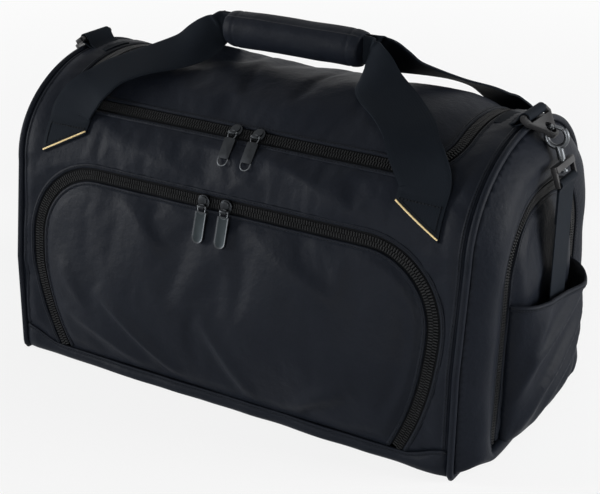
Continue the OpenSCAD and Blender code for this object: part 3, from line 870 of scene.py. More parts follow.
front_outline = np.vstack((
    seam_run(FRONT_ARCH["foot"] + ZIP_HW, WRAP_X)[1:],
    [[WRAP_X, HINGE_S]],
    on_top(lid_u(-ZIP_HW, REAR_Y)),
    [[-WRAP_X, HINGE_S]],
    seam_run(-WRAP_X, -FRONT_ARCH["foot"] - ZIP_HW)[:-1],
    on_front(arch(FRONT_ARCH, -ZIP_HW, SEAM_Z))[::-1],
))
front_cloth = lay("front_cloth", [front_outline], STEP, on_wrap, front_lift, calm)
stuff(front_cloth, pressure=1.0, grow=0.016, bending=1.0, cap=4 * MM)

REAR_FOLDS = (
    ((-0.18, 0.080), (-0.05, 0.130), 0.016, 3.0),
    ((0.05, 0.110), (0.19, 0.190), 0.018, 3.2),
    ((-0.10, 0.210), (0.06, 0.190), 0.015, 2.4),
    ((-0.21, 0.190), (-0.16, 0.120), 0.012, 2.2),
)


def rear_lift(flat, rim):
    at = on_wrap(flat)[0][:, [0, 2]]
    swell = swelling(*at.T, WRAP_X, SEAM_Z, ANCHOR_Z - 7 * MM, REAR_SWELL)
    soft = folded(at, REAR_FOLDS) + 1.0 * MM + rumple(flat, "rear")
    return swell + ramp(rim, 0.03) * calm(flat) * soft


rear_outline = np.vstack(([[WRAP_X, HINGE_S]], to_rear(seam_run(WRAP_X, -WRAP_X)), [[-WRAP_X, HINGE_S]]))
rear_cloth = lay("rear_cloth", [rear_outline], STEP * 1.3, on_wrap, rear_lift, calm)
stuff(rear_cloth, pressure=1.0, grow=0.016, bending=1.5, cap=4 * MM)
print("body cloth", len(front_cloth.data.vertices), len(rear_cloth.data.vertices))

# %% [markdown]
# ## Base tray
# A band of the same nylon wraps the lower edge, with the stiff board inside. It stands flat on the floor,
# so only its walls are rumpled.


# %% Base tray
def on_base(flat):
    """Places on the form, whose lift is level, so that the underside stays on the floor."""
    points, out = on_wrap(flat)
    return points, out * (1, 1, 0)


def tray_lift(flat, rim):
    return ramp(rim, 0.009) * (4 * MM + rumple(flat, "base"))


tray_outline = np.vstack((seam_run(WRAP_X, -WRAP_X), seam_run(-WRAP_X, WRAP_X) * (1, -1)))
tray_cloth = lay("base_cloth", [tray_outline], STEP * 1.2, on_base, tray_lift)
print("base cloth", len(tray_cloth.data.vertices))

# %% [markdown]
# ## Lid
# The lid is the top of the bag inside the zip. Its rear edge isn't cut: the cloth carries on into the rear
# panel and folds there. The piece rides on no body.

# %% Lid cloth
LID_SWELL = 8 * MM
LID_FOLDS = [
    ((x_a, top_s(y_a)), (x_b, top_s(y_b)), width, height)
    for (x_a, y_a), (x_b, y_b), width, height in (
        ((-0.17, -0.06), (-0.03, -0.02), 0.018, 2.6),
        ((0.03, 0.00), (0.18, -0.05), 0.016, 2.8),
        ((0.10, 0.05), (0.19, 0.03), 0.012, 2.2),
        ((-0.19, 0.035), (-0.06, 0.045), 0.026, 5.0),
    )
]


def lid_lift(flat, rim):
    soft = folded(flat, LID_FOLDS) + rumple(flat, "lid")
    return ramp(rim, 0.036) * LID_SWELL + ramp(rim, 0.03) * soft


lid_cloth = lay("lid_cloth", [on_top(lid_u(ZIP_HW, REAR_Y - 0.4 * MM))], STEP, on_wrap, lid_lift)
stuff(lid_cloth, pressure=0.8, grow=0.012, bending=1.0, cap=4 * MM)
print("lid cloth", len(lid_cloth.data.vertices))

# %% [markdown]
# ## Front pocket
# The pocket's panel swells out from its zip, and long soft folds run down to the right across its lower left,
# where the loose cloth hangs between the zip and the base seam.

# %% Front pocket cloth
POCKET_FOOT = SEAM_Z + 0.6 * MM
FRONT_SWELL, END_SWELL = 14 * MM, 10 * MM
POCKET_FOLDS = (
    ((-0.140, 0.100), (-0.036, 0.024), 0.008, 7.0),
    ((-0.185, 0.070), (-0.080, 0.026), 0.008, 5.6),
    ((-0.010, 0.098), (0.046, 0.024), 0.009, 5.6),
    ((-0.122, 0.208), (-0.060, 0.150), 0.011, 5.2),
    ((0.080, 0.030), (0.150, 0.070), 0.009, 4.8),
    ((-0.200, 0.125), (-0.160, 0.080), 0.008, 4.0),
    ((0.040, 0.190), (0.140, 0.150), 0.013, 4.6),
)


def pocket_lift(at, rim, shape, swell, soft, soften):
    """A stuffed pocket stands out inside its zip, and its softness fades towards the rim."""
    rise = swelling(*at.T, shape["middle"], POCKET_FOOT, shape["top"] - ZIP_HW, swell)
    return ramp(rim, 0.012) * rise + ramp(rim, soften) * soft


def front_pocket_lift(flat, rim):
    at = columns(flat[:, 0], np.interp(flat[:, 1], HALF_RUN, HALF_LINE[:, 1]))
    soft = folded(at, POCKET_FOLDS) + rumple(flat, "front_pocket")
    return pocket_lift(at, rim, FRONT_ARCH, FRONT_SWELL, soft, 0.02)


pocket_outline = on_front(arch(FRONT_ARCH, ZIP_HW, POCKET_FOOT))
front_pocket = lay("front_pocket_cloth", [pocket_outline], STEP, on_wrap, front_pocket_lift)
stuff(front_pocket, pressure=0.8, grow=0.012, bending=1.4, cap=5 * MM)
print("front pocket cloth", len(front_pocket.data.vertices))

# %% [markdown]
# ## Ends
# Each end has a padded border round an arched pocket. The right pocket also carries the slip pocket, a
# pouch whose loose cloth hangs in strong slanting folds, and which is drawn in towards its foot.

# %% End borders and end pockets
END_STEP = 4 * MM
PIPING_W = END_X - WRAP_X


def loaf_outline(inset):
    """The end's outline as (y, z), drawn in by inset."""
    return (LOOP_LINE - LOOP_OUT * inset)[::3]


END_LOOP, END_GAP = loaf_outline(CLOTH_T), arch(END_ARCH, -ZIP_HW, SEAM_Z)
DOME_SHARE = 0.65
SAG, SAG_Z = 7 * MM, 0.060
END_FOLDS = (
    ((-0.062, 0.205), (-0.052, 0.120), 0.007, 3.0),
    ((-0.042, 0.222), (-0.030, 0.150), 0.008, 2.8),
    ((0.050, 0.210), (0.044, 0.130), 0.009, 2.6),
    ((0.020, 0.225), (0.012, 0.170), 0.008, 2.0),
)


def border_lift(flat, rim):
    """The border domes out from the piping to the level of the zip, and its padding puffs between them."""
    off, back = rim_distance(flat, [END_LOOP]), rim_distance(flat, [END_GAP])
    share = off / np.maximum(off + back, 1e-9)
    dome = np.sin(np.clip(share / DOME_SHARE, 0, 1) * np.pi / 2)
    sag = SAG * (1 - ramp(flat[:, 1], SAG_Z))
    puff = np.sin(np.pi * share) * (4 * MM + sag + rumple(flat, "end"))
    return (WRAP_X + CLOTH_T - FACE_X) * (1 - dome) + puff


def end_pocket_lift(flat, rim):
    soft = folded(flat, END_FOLDS) + rumple(flat, "end_pocket")
    return pocket_lift(flat, rim, END_ARCH, END_SWELL, soft, 0.015)


borders, end_pockets = {}, {}
end_outline = arch(END_ARCH, ZIP_HW, POCKET_FOOT)
for side, word in ENDS:
    borders[word] = lay(word + "_end_cloth", [END_LOOP, END_GAP], END_STEP, END_FACE[side], border_lift)
    end_pockets[word] = lay(word + "_pocket_cloth", [end_outline], END_STEP, END_FACE[side], end_pocket_lift)
    stuff(end_pockets[word], pressure=0.6, grow=0.015, bending=0.8, cap=4 * MM)
print("ends", len(borders["right"].data.vertices), len(end_pockets["right"].data.vertices))

# %% [markdown]
# ## Slip pocket
# The pouch on the right end is one piece of loose cloth. Its plan is a full rounded D, and its foot is drawn
# in. It is cut flat as (width, height) and hung on that form, with the listed slanting folds laid in.

# %% Slip pocket
slip_low, slip_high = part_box("slip_pocket")
SLIP_RISE = slip_high.x - slip_low.x
SLIP_HW = slip_high.y
SLIP_FULL_Z = 0.110
SLIP_FOOT = 8 * MM
SLIP_FADE, SLIP_SEWN, SLIP_SLACK = 0.02, 6 * MM, 3.0 * MM


def slip_plan():
    """The pouch's plan as (y, share of the full rise), from front to rear."""
    angles = np.radians(np.linspace(-90, 90, 60))
    y = SLIP_HW * np.sign(angles) * np.abs(np.sin(angles)) ** (2 / 3)
    return columns(y, np.clip(np.cos(angles), 0, 1) ** (2 / 3))


def slip_side():
    """The pouch's side line as (x, z), from the end's face under its foot up to its rim."""
    angles = np.radians(np.linspace(0, 90, 30))
    x = slip_low.x + SLIP_FOOT + (SLIP_RISE - SLIP_FOOT) * np.sin(angles) ** 0.8
    z = SLIP_FULL_Z - (SLIP_FULL_Z - slip_low.z) * np.cos(angles) ** 0.8
    foot = [[slip_low.x, slip_low.z]]
    return np.vstack((foot, columns(x, z), [[slip_high.x, slip_high.z + 12 * MM]]))


PLAN = slip_plan()
PLAN_RUN = run_length(columns(PLAN[:, 0], SLIP_RISE * PLAN[:, 1]))
SIDE = slip_side()
SIDE_RUN = run_length(SIDE)


def on_slip(flat):
    """Places and outward directions on the pouch for points (width, height), width from the middle."""
    across = flat[:, 0] + PLAN_RUN[-1] / 2
    y, share = (np.interp(across, PLAN_RUN, PLAN[:, k]) for k in (0, 1))
    x, z = (np.interp(flat[:, 1], SIDE_RUN, SIDE[:, k]) for k in (0, 1))
    points = columns(slip_low.x + (x - slip_low.x) * share, y, z)
    lean = np.clip((SLIP_FULL_Z - z) / SLIP_FULL_Z, 0, 1)
    out = columns(0.35 + share, y / SLIP_HW * 0.9, -0.5 * lean)
    return points, unit(out)


def slip_at(y, z):
    """The flat place that lies at y and z, on the pouch's outside."""
    return (
        float(np.interp(y, PLAN[:, 0], PLAN_RUN) - PLAN_RUN[-1] / 2),
        float(np.interp(z, SIDE[1:, 1], SIDE_RUN[1:])),
    )


SLIP_FOLDS = (
    ([(0.071, 0.152), (0.036, 0.140), (-0.022, 0.119), (-0.054, 0.100), (-0.070, 0.066)], 0.007, 8.0),
    ([(0.068, 0.134), (0.040, 0.112), (0.000, 0.088), (-0.036, 0.062), (-0.060, 0.028)], 0.007, 7.4),
    ([(0.063, 0.110), (0.027, 0.074), (-0.009, 0.050), (-0.032, 0.024)], 0.006, 6.4),
    ([(0.065, 0.080), (0.043, 0.052), (0.018, 0.026)], 0.006, 5.2),
    ([(-0.036, 0.150), (-0.052, 0.120), (-0.065, 0.090)], 0.008, 4.0),
)


def slip_lift(flat, rim):
    lift = rumple(flat, "slip")
    for line, width, height in SLIP_FOLDS:
        lift = lift + crease(flat, [slip_at(*p) for p in line], width, height * MM)
    sides = np.clip((PLAN_RUN[-1] / 2 - np.abs(flat[:, 0])) / SLIP_FADE, 0, 1)
    foot = np.clip((flat[:, 1] - SLIP_SEWN) / SLIP_FADE, 0, 1)
    return (lift - SLIP_SLACK) * sides * foot


slip_rim = [(-SLIP_HW, 0.160), (-0.054, 0.157), (-0.025, 0.154), (0.018, 0.148), (0.048, 0.145), (SLIP_HW, 0.158)]
slip_outline = np.array(
    [(-PLAN_RUN[-1] / 2, 0.0), (PLAN_RUN[-1] / 2, 0.0)] + [slip_at(*p) for p in slip_rim[::-1]]
)
slip_cloth = lay("slip_cloth", [slip_outline], 4 * MM, on_slip, slip_lift)
stuff(slip_cloth, pressure=0.3, grow=0.02, bending=0.6, cap=3 * MM)
print("slip pocket", len(slip_cloth.data.vertices), "points")

# %% Run the simulation
run_cloth()

SHEETS = (front_cloth, rear_cloth, lid_cloth, front_pocket, tray_cloth, *end_pockets.values(), slip_cloth)
for piece in (*SHEETS, *borders.values()):
    thicken(piece, NYLON_T)

# %% Cloth on its bodies
FLAP_FEET = {"front_flap": (0, -HALF_D), "left_flap": (-FACE_X, 0)}


def dress_flap(piece, flap, *nodes):
    """Dresses a piece of an opening pocket on no body, and bakes its place into its mesh. The flap is not used."""
    dress(piece, None, "nylon", *nodes)
    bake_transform(piece)


dress(front_cloth, "bag", "nylon", "front_panel", "left_top_panel", "right_top_panel")
dress(rear_cloth, "bag", "nylon", "rear_panel")
dress(tray_cloth, "bag", "nylon", "base_tray")
dress(lid_cloth, None, "nylon", "lid_panel", "lid_welt")
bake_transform(lid_cloth)
dress_flap(front_pocket, "front_flap", "front_pocket_panel")
dress_flap(end_pockets["left"], "left_flap", "left_pocket_panel")
dress(end_pockets["right"], "bag", "nylon", "right_pocket_panel")
dress(slip_cloth, "bag", "nylon", "slip_pocket")
for word in ("left", "right"):
    dress(borders[word], "bag", "padding", word + "_end_panel")
for piece in (front_cloth, rear_cloth):
    sheet(piece, "left_piping", "right_piping")
sheet(tray_cloth, "base_board")
sheet(lid_cloth, "main_zip_lid")
sheet(front_pocket, "front_zip_flap")
for word, piece in end_pockets.items():
    sheet(piece, word + "_zip_flap")
sheet(slip_cloth, "right_pocket_panel", held="gathered")
print("cloth dressed")

# %% [markdown]
# ## Sewn strips
# Piping, hems, webbing and zip tape are all long strips. `sweep` carries a small cross-section along a line
# of places, and keeps the distance along and across in the flat pattern, so that the weave follows the strip.

# %% Strips
SHARP_ANGLE = math.radians(38)
REACH = 0.04


def strip_axes(places, out, closed=False):
    """The directions along, across and out of a strip at each place."""
    if closed:
        along = unit(np.roll(places, -1, axis=0) - np.roll(places, 1, axis=0))
    else:
        along = unit(np.gradient(places, axis=0))
    out = unit(out - along * np.sum(along * out, axis=1)[:, None])
    return along, np.cross(out, along), out


def sweep(name, places, out, section, finish, closed=False, scale=None):
    """A strip with the closed cross-section (across, out), which scale may shrink at each place."""
    section = np.array(section)
    count, corners = len(places), len(section)
    _, across, up = strip_axes(places, out, closed)
    size = np.ones(count) if scale is None else scale
    sides = section[None] * size[:, None, None]
    points = places[:, None] + across[:, None] * sides[..., :1] + up[:, None] * sides[..., 1:]
    run = run_length(places)
    pattern = np.stack(np.broadcast_arrays(run[:, None], section[None, :, 0] + section[None, :, 1]), axis=-1)
    faces = []
    for k in range(count if closed else count - 1):
        a, b = k * corners, ((k + 1) % count) * corners
        faces += [(a + j, a + (j + 1) % corners, b + (j + 1) % corners, b + j) for j in range(corners)]
    if not closed:
        last = (count - 1) * corners
        faces += [tuple(range(corners))[::-1], tuple(range(last, last + corners))]
    made = build(name, points.reshape(-1, 3), faces, pattern.reshape(-1, 2), finish)
    with editing(made):
        bpy.ops.mesh.normals_make_consistent(inside=False)
    return made


def round_section(across, out, corners):
    """A round or flattened cross-section."""
    return turn((0, 0), 1.0, 0, 360 - 360 / corners, corners) * (across, out)


def flat_section(width, depth, edge):
    """A flat band with eased edges."""
    hw, hd = width / 2, depth / 2
    right = [(hw - edge, -hd), (hw, -hd + edge), (hw, hd - edge), (hw - edge, hd)]
    middle = [(x * hw, hd) for x in (0.6, 0.2, -0.2, -0.6)]
    return right + middle + [(-x, -y) for x, y in right] + [(-x, -y) for x, y in middle]


def join(name, parts):
    """Makes one piece of several."""
    bpy.ops.object.select_all(action="DESELECT")
    for part in parts:
        part.select_set(True)
    bpy.context.view_layer.objects.active = parts[0]
    bpy.ops.object.join()
    parts[0].name = name
    parts[0].data.name = name
    return parts[0]


def flatten(piece):
    """Smooth shading that keeps the real edges sharp."""
    only(piece)
    bpy.ops.object.shade_smooth_by_angle(angle=SHARP_ANGLE)
    return piece


def settle(places, out, piece, height):
    """Moves places along out until they lie on a piece, height above it. Places that miss stay."""
    tree = BVHTree.FromPolygons(
        [v.co for v in piece.data.vertices], [tuple(p.vertices) for p in piece.data.polygons]
    )
    settled = places.copy()
    for k, (place, up) in enumerate(zip(places, out)):
        up = Vector(up).normalized()
        hit = tree.ray_cast(Vector(place) + up * REACH, -up, 2 * REACH)[0]
        if hit is not None:
            settled[k] = hit + up * height
    return settled


print("strip helpers ready")

# %% Piping
PIPING_R, MIDDLE_Z = 3.3 * MM, 0.15
loop = even_loop(LOOP_LINE, 4 * MM)
loop[:, 1] = np.maximum(loop[:, 1], PIPING_R)
out = columns(np.zeros(len(loop)), unit(loop - (0, MIDDLE_Z)))
for side, word in ENDS:
    places = columns(np.full(len(loop), side * (WRAP_X + PIPING_W / 2)), loop)
    cord = sweep(word + "_piping_cord", places, out, round_section(PIPING_R, PIPING_R, 12), NYLON, closed=True)
    dress(cord, "bag", "nylon", word + "_piping")
print("piping on both ends")

# %% [markdown]
# ## Zips
# These are coil zips with large teeth. Each half is a woven tape with a row of coil loops along one edge, and
# the two rows mesh at the middle. One loop is modelled by hand and copied along the run.

# %% One coil loop
TOOTH_PITCH = 2.8 * MM


def take_shape():
    """The points and faces of the active piece, which is then deleted."""
    piece = bpy.context.object
    shape = vertex_places(piece), [tuple(p.vertices) for p in piece.data.polygons]
    bpy.ops.object.delete()
    return shape


bpy.ops.mesh.primitive_cylinder_add(vertices=6, radius=0.62, depth=4.6, rotation=(0, math.pi / 2, 0))
bpy.ops.object.transform_apply()
with editing(bpy.context.object):
    bpy.ops.transform.resize(value=(MM, 1.4 * MM, 1.6 * MM))
    bpy.ops.transform.translate(value=(2.45 * MM, 0, 0))
LOOP = take_shape()
print("coil loop with", len(LOOP[1]), "faces")

# %% Zip halves
TAPE_W, TAPE_T, TAPE_OFF, TAPE_DROP = 8.6 * MM, 0.8 * MM, 4.6 * MM, 1.5 * MM
COIL_DROP = 0.35 * MM


def copies(name, shape, places, axes, finish):
    """Copies of one small shape at many places, each with its own axes (across, along, out)."""
    corners, faces = shape
    points = np.einsum("pk,nkc->npc", corners, np.stack(axes, axis=1)) + places[:, None]
    starts = np.arange(len(places)) * len(corners)
    all_faces = [tuple(k + start for k in face) for start in starts for face in faces]
    pattern = np.tile(corners[:, :2], (len(places), 1))
    return build(name, points.reshape(-1, 3), all_faces, pattern, finish)


def zip_half(name, line, place, side, body, node, phase):
    """One half of a zip along a flat line: its tape and its row of loops. side says which way the tape lies."""
    places, out = place(even(line, TOOTH_PITCH))
    along, across, up = strip_axes(places, out)
    tape_at = places + across * (side * TAPE_OFF) - up * TAPE_DROP
    tape = sweep(name + "_tape", tape_at, out, flat_section(TAPE_W, TAPE_T, 0.2 * MM), TAPE)
    rows = places[:-1] + (places[1:] - places[:-1]) * phase - up[:-1] * COIL_DROP
    row = copies(name + "_row", LOOP, rows, (across[:-1] * side, along[:-1], up[:-1]), COIL)
    if side < 0:
        row.data.flip_normals()
    return dress(flatten(join(name, [tape, row])), body, "coil", node)


ZIP_REAR = HINGE_Y - 3 * MM
lid_line = on_top(lid_u(0, ZIP_REAR))
front_line = on_front(arch(FRONT_ARCH, 0, SEAM_Z + MM))
end_line = arch(END_ARCH, 0, SEAM_Z + MM)
ZIPS = (
    ("main_zip", lid_line, on_wrap, 1, "main_zip_body", "lid", "main_zip_lid"),
    ("front_zip", front_line, on_wrap, -1, "front_zip_frame", "front_flap", "front_zip_flap"),
    ("right_zip", end_line, END_FACE[1], -1, "right_zip_frame", "bag", "right_zip_flap"),
    ("left_zip", end_line, END_FACE[-1], 1, "left_zip_frame", "left_flap", "left_zip_flap"),
)
for name, line, place, outward, outer_node, inner_body, inner_node in ZIPS:
    zip_half(name + "_outer", line, place, outward, "bag", outer_node, 0.25)
    zip_half(name + "_inner", line, place, -outward, inner_body, inner_node, 0.75)
    print(name, round(run_length(even(line, TOOTH_PITCH))[-1], 3), "m")

# %% [markdown]
# ## Handles
# Each handle is one length of 50 mm webbing. Its two ends are sewn flat on the wall and cut on the slant, and
# between them it rises, twists and runs through the grip. A ribbon is laid through the stations of the measured
# model, from one sewn end to the other.

# %% Handle line
SWING = JOINTS["front_handle_drop"]["pos_m"]
GRIP_Z, GRIP_R = 0.356, 0.0195
GRIP_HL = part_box("front_grip_pad")[1].x
GRIP_WEB_Y = 3.4 * MM
STATIONS = np.array([
    (LEG_X, SWING[1], SWING[2], 1.00, 0.00, 0.00, 0.050),
    (LEG_X, -0.1095, 0.2725, 1.00, 0.00, 0.00, 0.050),
    (LEG_X - 0.003, -0.1060, 0.2800, 0.99, 0.10, 0.10, 0.050),
    (LEG_X - 0.011, -0.1010, 0.2910, 0.95, 0.24, 0.18, 0.050),
    (LEG_X - 0.021, -0.0940, 0.3020, 0.88, 0.40, 0.20, 0.050),
    (0.169, -0.0800, 0.3130, 0.80, 0.55, 0.20, 0.050),
    (0.146, -0.0600, 0.3230, 0.66, 0.68, 0.25, 0.050),
    (0.115, -0.0380, 0.3340, 0.50, 0.72, 0.50, 0.048),
    (0.099, -0.0210, 0.3450, 0.30, 0.50, 0.80, 0.042),
    (0.089, -0.0085, 0.3530, 0.12, 0.22, 0.95, 0.034),
    (0.081, -GRIP_WEB_Y, GRIP_Z, 0.00, 0.00, 1.00, 0.028),
    (0.040, -GRIP_WEB_Y, GRIP_Z, 0.00, 0.00, 1.00, 0.028),
])


def flowing(rows):
    """A smooth line through rows of values, with eight places for each."""
    rows = np.vstack((2 * rows[0] - rows[1], rows, 2 * rows[-1] - rows[-2]))
    t = np.linspace(0, 1, 8, endpoint=False)[:, None]
    parts = [
        0.5 * (2 * b + (c - a) * t + (2 * a - 5 * b + 4 * c - d) * t**2 + (3 * b - a - 3 * c + d) * t**3)
        for a, b, c, d in zip(rows, rows[1:], rows[2:], rows[3:])
    ]
    return np.vstack((*parts, rows[-2:-1]))


print("handle line with", len(STATIONS), "stations")

# %% Handles
COLUMNS = np.linspace(-1, 1, 11)
CUP_X, CUP_W, CUP_H = 0.100, 0.014, 5 * MM


def sewn(x, z, height, mirror=(1, 1, 1)):
    """Places on the front at x and z, height above the form, and the directions out of it, mirrored."""
    points, out = on_wrap(columns(x, wall_s(z)))
    return (points + out * height) * mirror, out * mirror


def anchor_rows():
    """The sewn end as rows of points from its slanted cut up to the swing line."""
    cut_z = ANCHOR_Z + (1 - COLUMNS) / 2 * ANCHOR_CUT
    x = LEG_X + COLUMNS * WEB_W / 2
    return [
        sewn(x, cut_z + (SWING[2] - cut_z) * share, 0.3 * MM + WEB_T / 2)[0] for share in np.linspace(0, 1, 9)[:-1]
    ]


def ribbon_rows(stations):
    """The free part as rows of points, cupped a little where it gathers into the grip."""
    line = flowing(stations)
    places = line[:, :3]
    along = unit(np.gradient(places, axis=0))
    across = unit(line[:, 3:6] - along * np.sum(along * line[:, 3:6], axis=1)[:, None])
    out = np.cross(along, across)
    cup = CUP_H * np.exp(-(((places[:, 0] - CUP_X) / CUP_W) ** 2))
    return [
        place + np.outer(COLUMNS, side) * width / 2 + np.outer(COLUMNS**2 - 0.4, up) * depth
        for place, side, up, width, depth in zip(places, across, out, line[:, 6], cup)
    ]


def handle(word, mirror_y):
    right = anchor_rows() + ribbon_rows(STATIONS)
    left = [row * (-1, 1, 1) for row in right[::-1]]
    rows = np.array(right + left[1:]) * (1, mirror_y, 1)
    count, width = rows.shape[:2]
    run = run_length(rows[:, width // 2])
    pattern = np.stack(np.broadcast_arrays(run[:, None], (COLUMNS * WEB_W / 2)[None]), axis=-1)
    faces = [
        (k * width + j, k * width + j + 1, (k + 1) * width + j + 1, (k + 1) * width + j)
        for k in range(count - 1) for j in range(width - 1)
    ]
    made = build(word + "_handle_web", rows.reshape(-1, 3), faces, pattern.reshape(-1, 2), WEBBING)
    modify(made, "SOLIDIFY", thickness=WEB_T * 0.9, offset=0)
    modify(made, "BEVEL", width=0.5 * MM, segments=2, limit_method="ANGLE")
    flatten(apply_all(made))
    dress(made, None, "webbing", word + "_handle", word + "_anchors")
    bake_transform(made)
    print(word, "handle", round(float(run[-1]), 3), "m of webbing")


for mirror_y, word in SIDES:
    handle(word, mirror_y)

# %% Gold seams
v = np.linspace(-0.97, 0.97, 24)
z = ANCHOR_Z + (1 - v) / 2 * ANCHOR_CUT + 2.2 * MM
for mirror_y, word in SIDES:
    seams = []
    for side in (-1, 1):
        places, out = sewn(LEG_X + v * WEB_W / 2, z, 0.55 * MM + WEB_T, (side, mirror_y, 1))
        seams.append(sweep("seam", places, out, round_section(0.95 * MM, 0.55 * MM, 8), GOLD))
    dress(join(word + "_gold_seams", seams), "bag", "gold_thread", word + "_gold_trim")
print("gold seams on four handle ends")

# %% [markdown]
# ## Grip
# A padded wrap closes round both handles. It is two half pads here, one on each handle, with the outer flap
# ending in a step along the upper front, and a sewn groove near each rounded end.

# %% Grip pads
SLOT_HH = 15.2 * MM
ROUND_END, GROOVE_IN, GROOVE_W = 10 * MM, 12 * MM, 1.3 * MM


def grip_section(flap):
    """Half of the wrap in cross-section: a half round with a slot for the webbing. flap lifts the outer layer."""
    angles = np.radians(np.linspace(90, 270, 33))
    step = np.where(np.degrees(angles) > 128, flap, 0.0)
    radius = GRIP_R - 1.4 * MM + step
    outer = columns(radius * np.cos(angles), radius * np.sin(angles))
    outer[:, 0] = np.minimum(outer[:, 0], -0.2 * MM)
    slot = [(-0.2, -SLOT_HH / MM), (-4.9, -SLOT_HH / MM), (-4.9, SLOT_HH / MM), (-0.2, SLOT_HH / MM)]
    return np.vstack((outer, np.array(slot) * MM))


def grip(word, mirror_y):
    """Half of the wrap: rounded at its ends, with a sewn groove round it near each of them."""
    u = np.linspace(-1, 1, 81)
    x = GRIP_HL * (u + np.sin(u * np.pi / 2)) / 2
    off = GRIP_HL - np.abs(x)
    ends = np.clip(off / ROUND_END, 0, 1)
    groove = np.exp(-(((off - GROOVE_IN) / GROOVE_W) ** 2))
    swell = 0.82 + 0.15 * np.sqrt(1 - (1 - ends) ** 2) + 0.03 * np.cos(u * np.pi / 2) - 0.03 * groove
    places = columns(x, 0 * x, np.full(len(x), GRIP_Z))
    out = np.tile((0.0, 0.0, 1.0), (len(x), 1))
    section = grip_section(1.4 * MM if word == "front" else 0.7 * MM) * (mirror_y, 1)
    pad = sweep(word + "_grip_pad_cloth", places, out, section, NYLON, scale=swell)
    places = vertex_places(pad)
    radial = places * (0, 1, 1) - (0, 0, GRIP_Z)
    far = np.linalg.norm(radial, axis=1)
    soft = rumple(places * (0.6, 1, 1), "grip") * (far > 16 * MM)
    set_places(pad, places + unit(radial) * soft[:, None])
    dress(flatten(pad), word + "_handle", "padding", word + "_grip_pad")
    return pad


grips = [grip(word, mirror_y) for mirror_y, word in SIDES]
print("grip pads", [len(g.data.polygons) for g in grips], "faces")

# %% [markdown]
# ## Tabs and strap
# A tab of webbing holds each end ring, and the strap is the same kind of webbing folded round the hook's bar.
# Both are a band on edge with a loop in it, so both come from one line: along one ply, round the bar, and back.

# %% End tabs
TAB_W, TAB_T = 0.040, 1.2 * MM
TAB_SEWN, TAB_BEND = 0.226, 0.247
BAR_X, _, BAR_Z = JOINTS["right_ring_swing"]["pos_m"]
LOOP_R = 4.6 * MM


def band(name, line, width, depth, side=1):
    """Webbing along an upright line (x, z), on the right or the left end."""
    turned, level = np.gradient(line, axis=0), 0 * line[:, 0]
    places = columns(side * line[:, 0], level, line[:, 1])
    out = columns(side * turned[:, 1], level, -turned[:, 0])
    return sweep(name, places, out, flat_section(width, depth, 0.3 * MM), WEBBING)


low_z, high_z = TOP_Z + 0.9 * MM, TOP_Z + 2.1 * MM
lower = np.array([(TAB_SEWN, low_z), (TAB_BEND - 0.004, low_z), (TAB_BEND + 0.002, low_z + 0.6 * MM)])
upper = np.array([(TAB_BEND, high_z + 2.2 * MM), (TAB_BEND - 0.006, high_z), (TAB_SEWN, high_z)])
line = even(np.vstack((lower, turn((BAR_X, BAR_Z), LOOP_R, -75, 150, 22), upper)), 1.5 * MM)
line[2:-2] = (line[1:-3] + 2 * line[2:-2] + line[3:-1]) / 4
for side, word in ENDS:
    tab = band(word + "_tab_web", line, TAB_W, TAB_T, side)
    places = vertex_places(tab)
    sewn_on = ramp(BAR_X - LOOP_R - np.abs(places[:, 0]), 0.012)
    drop = TOP_H * (1 - np.sqrt(1 - (places[:, 1] / TOP_HW) ** 2))
    set_places(tab, places - columns(0 * drop, 0 * drop, drop * sewn_on))
    dress(flatten(tab), "bag", "webbing", word + "_tab")
print("tabs on both ends")

# %% Strap
STRAP_W, STRAP_T, PLY_OFF = 0.038, 1.1 * MM, 0.62 * MM
strap_low, strap_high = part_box("strap_run")
STRAP_X = (strap_low.x + strap_high.x) / 2
STRAP_BAR_Z = strap_high.z - 4.6 * MM
LOOP_FOOT = STRAP_BAR_Z - 7 * MM
round_bar = turn((STRAP_X, STRAP_BAR_Z), 3.6 * MM, -70, 250, 26)
front_ply = np.array([(STRAP_X + PLY_OFF, z) for z in (strap_low.z, 0.16, 0.20, 0.235, LOOP_FOOT)])
back_ply = np.array([(STRAP_X - PLY_OFF, z) for z in (LOOP_FOOT, 0.240, 0.225)])
line = even(np.vstack((front_ply, round_bar, back_ply)), 1.8 * MM)
dress(flatten(band("strap_web", line, STRAP_W, STRAP_T)), "strap", "webbing", "strap_run")

# %% Folded rest of the strap
PLIES, PLY_POINTS = 4, 14
fold_low, fold_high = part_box("strap_fold")
ply_x = np.linspace(fold_low.x + 1.0 * MM, fold_high.x - 1.0 * MM, PLIES)
sag = 0.5 * MM * np.sin(np.linspace(0, np.pi, PLY_POINTS))
zigzag = []
for k, x in enumerate(ply_x):
    ends = [fold_low.z + 2 * MM, fold_high.z - 2 * MM]
    zs = np.linspace(*(ends if k % 2 == 0 else ends[::-1]), PLY_POINTS)
    zigzag += [(x + s, z) for s, z in zip(sag, zs)]
    if k < PLIES - 1:
        mid, r = (x + ply_x[k + 1]) / 2, (ply_x[k + 1] - x) / 2
        zigzag += [tuple(p) for p in turn((mid, zs[-1]), r, 180, 0 if k % 2 == 0 else 360, 8)[1:-1]]
line = np.array(zigzag)
dress(flatten(band("strap_rest", line, STRAP_W - 4 * MM, 1.8 * MM)), "bag", "webbing", "strap_fold")
print("strap", round(float(run_length(line)[-1]), 2), "m folded in the pouch")

# %% [markdown]
# ## Moulded fittings
# The rings, the hook, its gate and the yoke are rigid mouldings, and the measured model already has their
# shapes. Each is copied, its triangles are merged, and its edges are eased the way a mould leaves them.


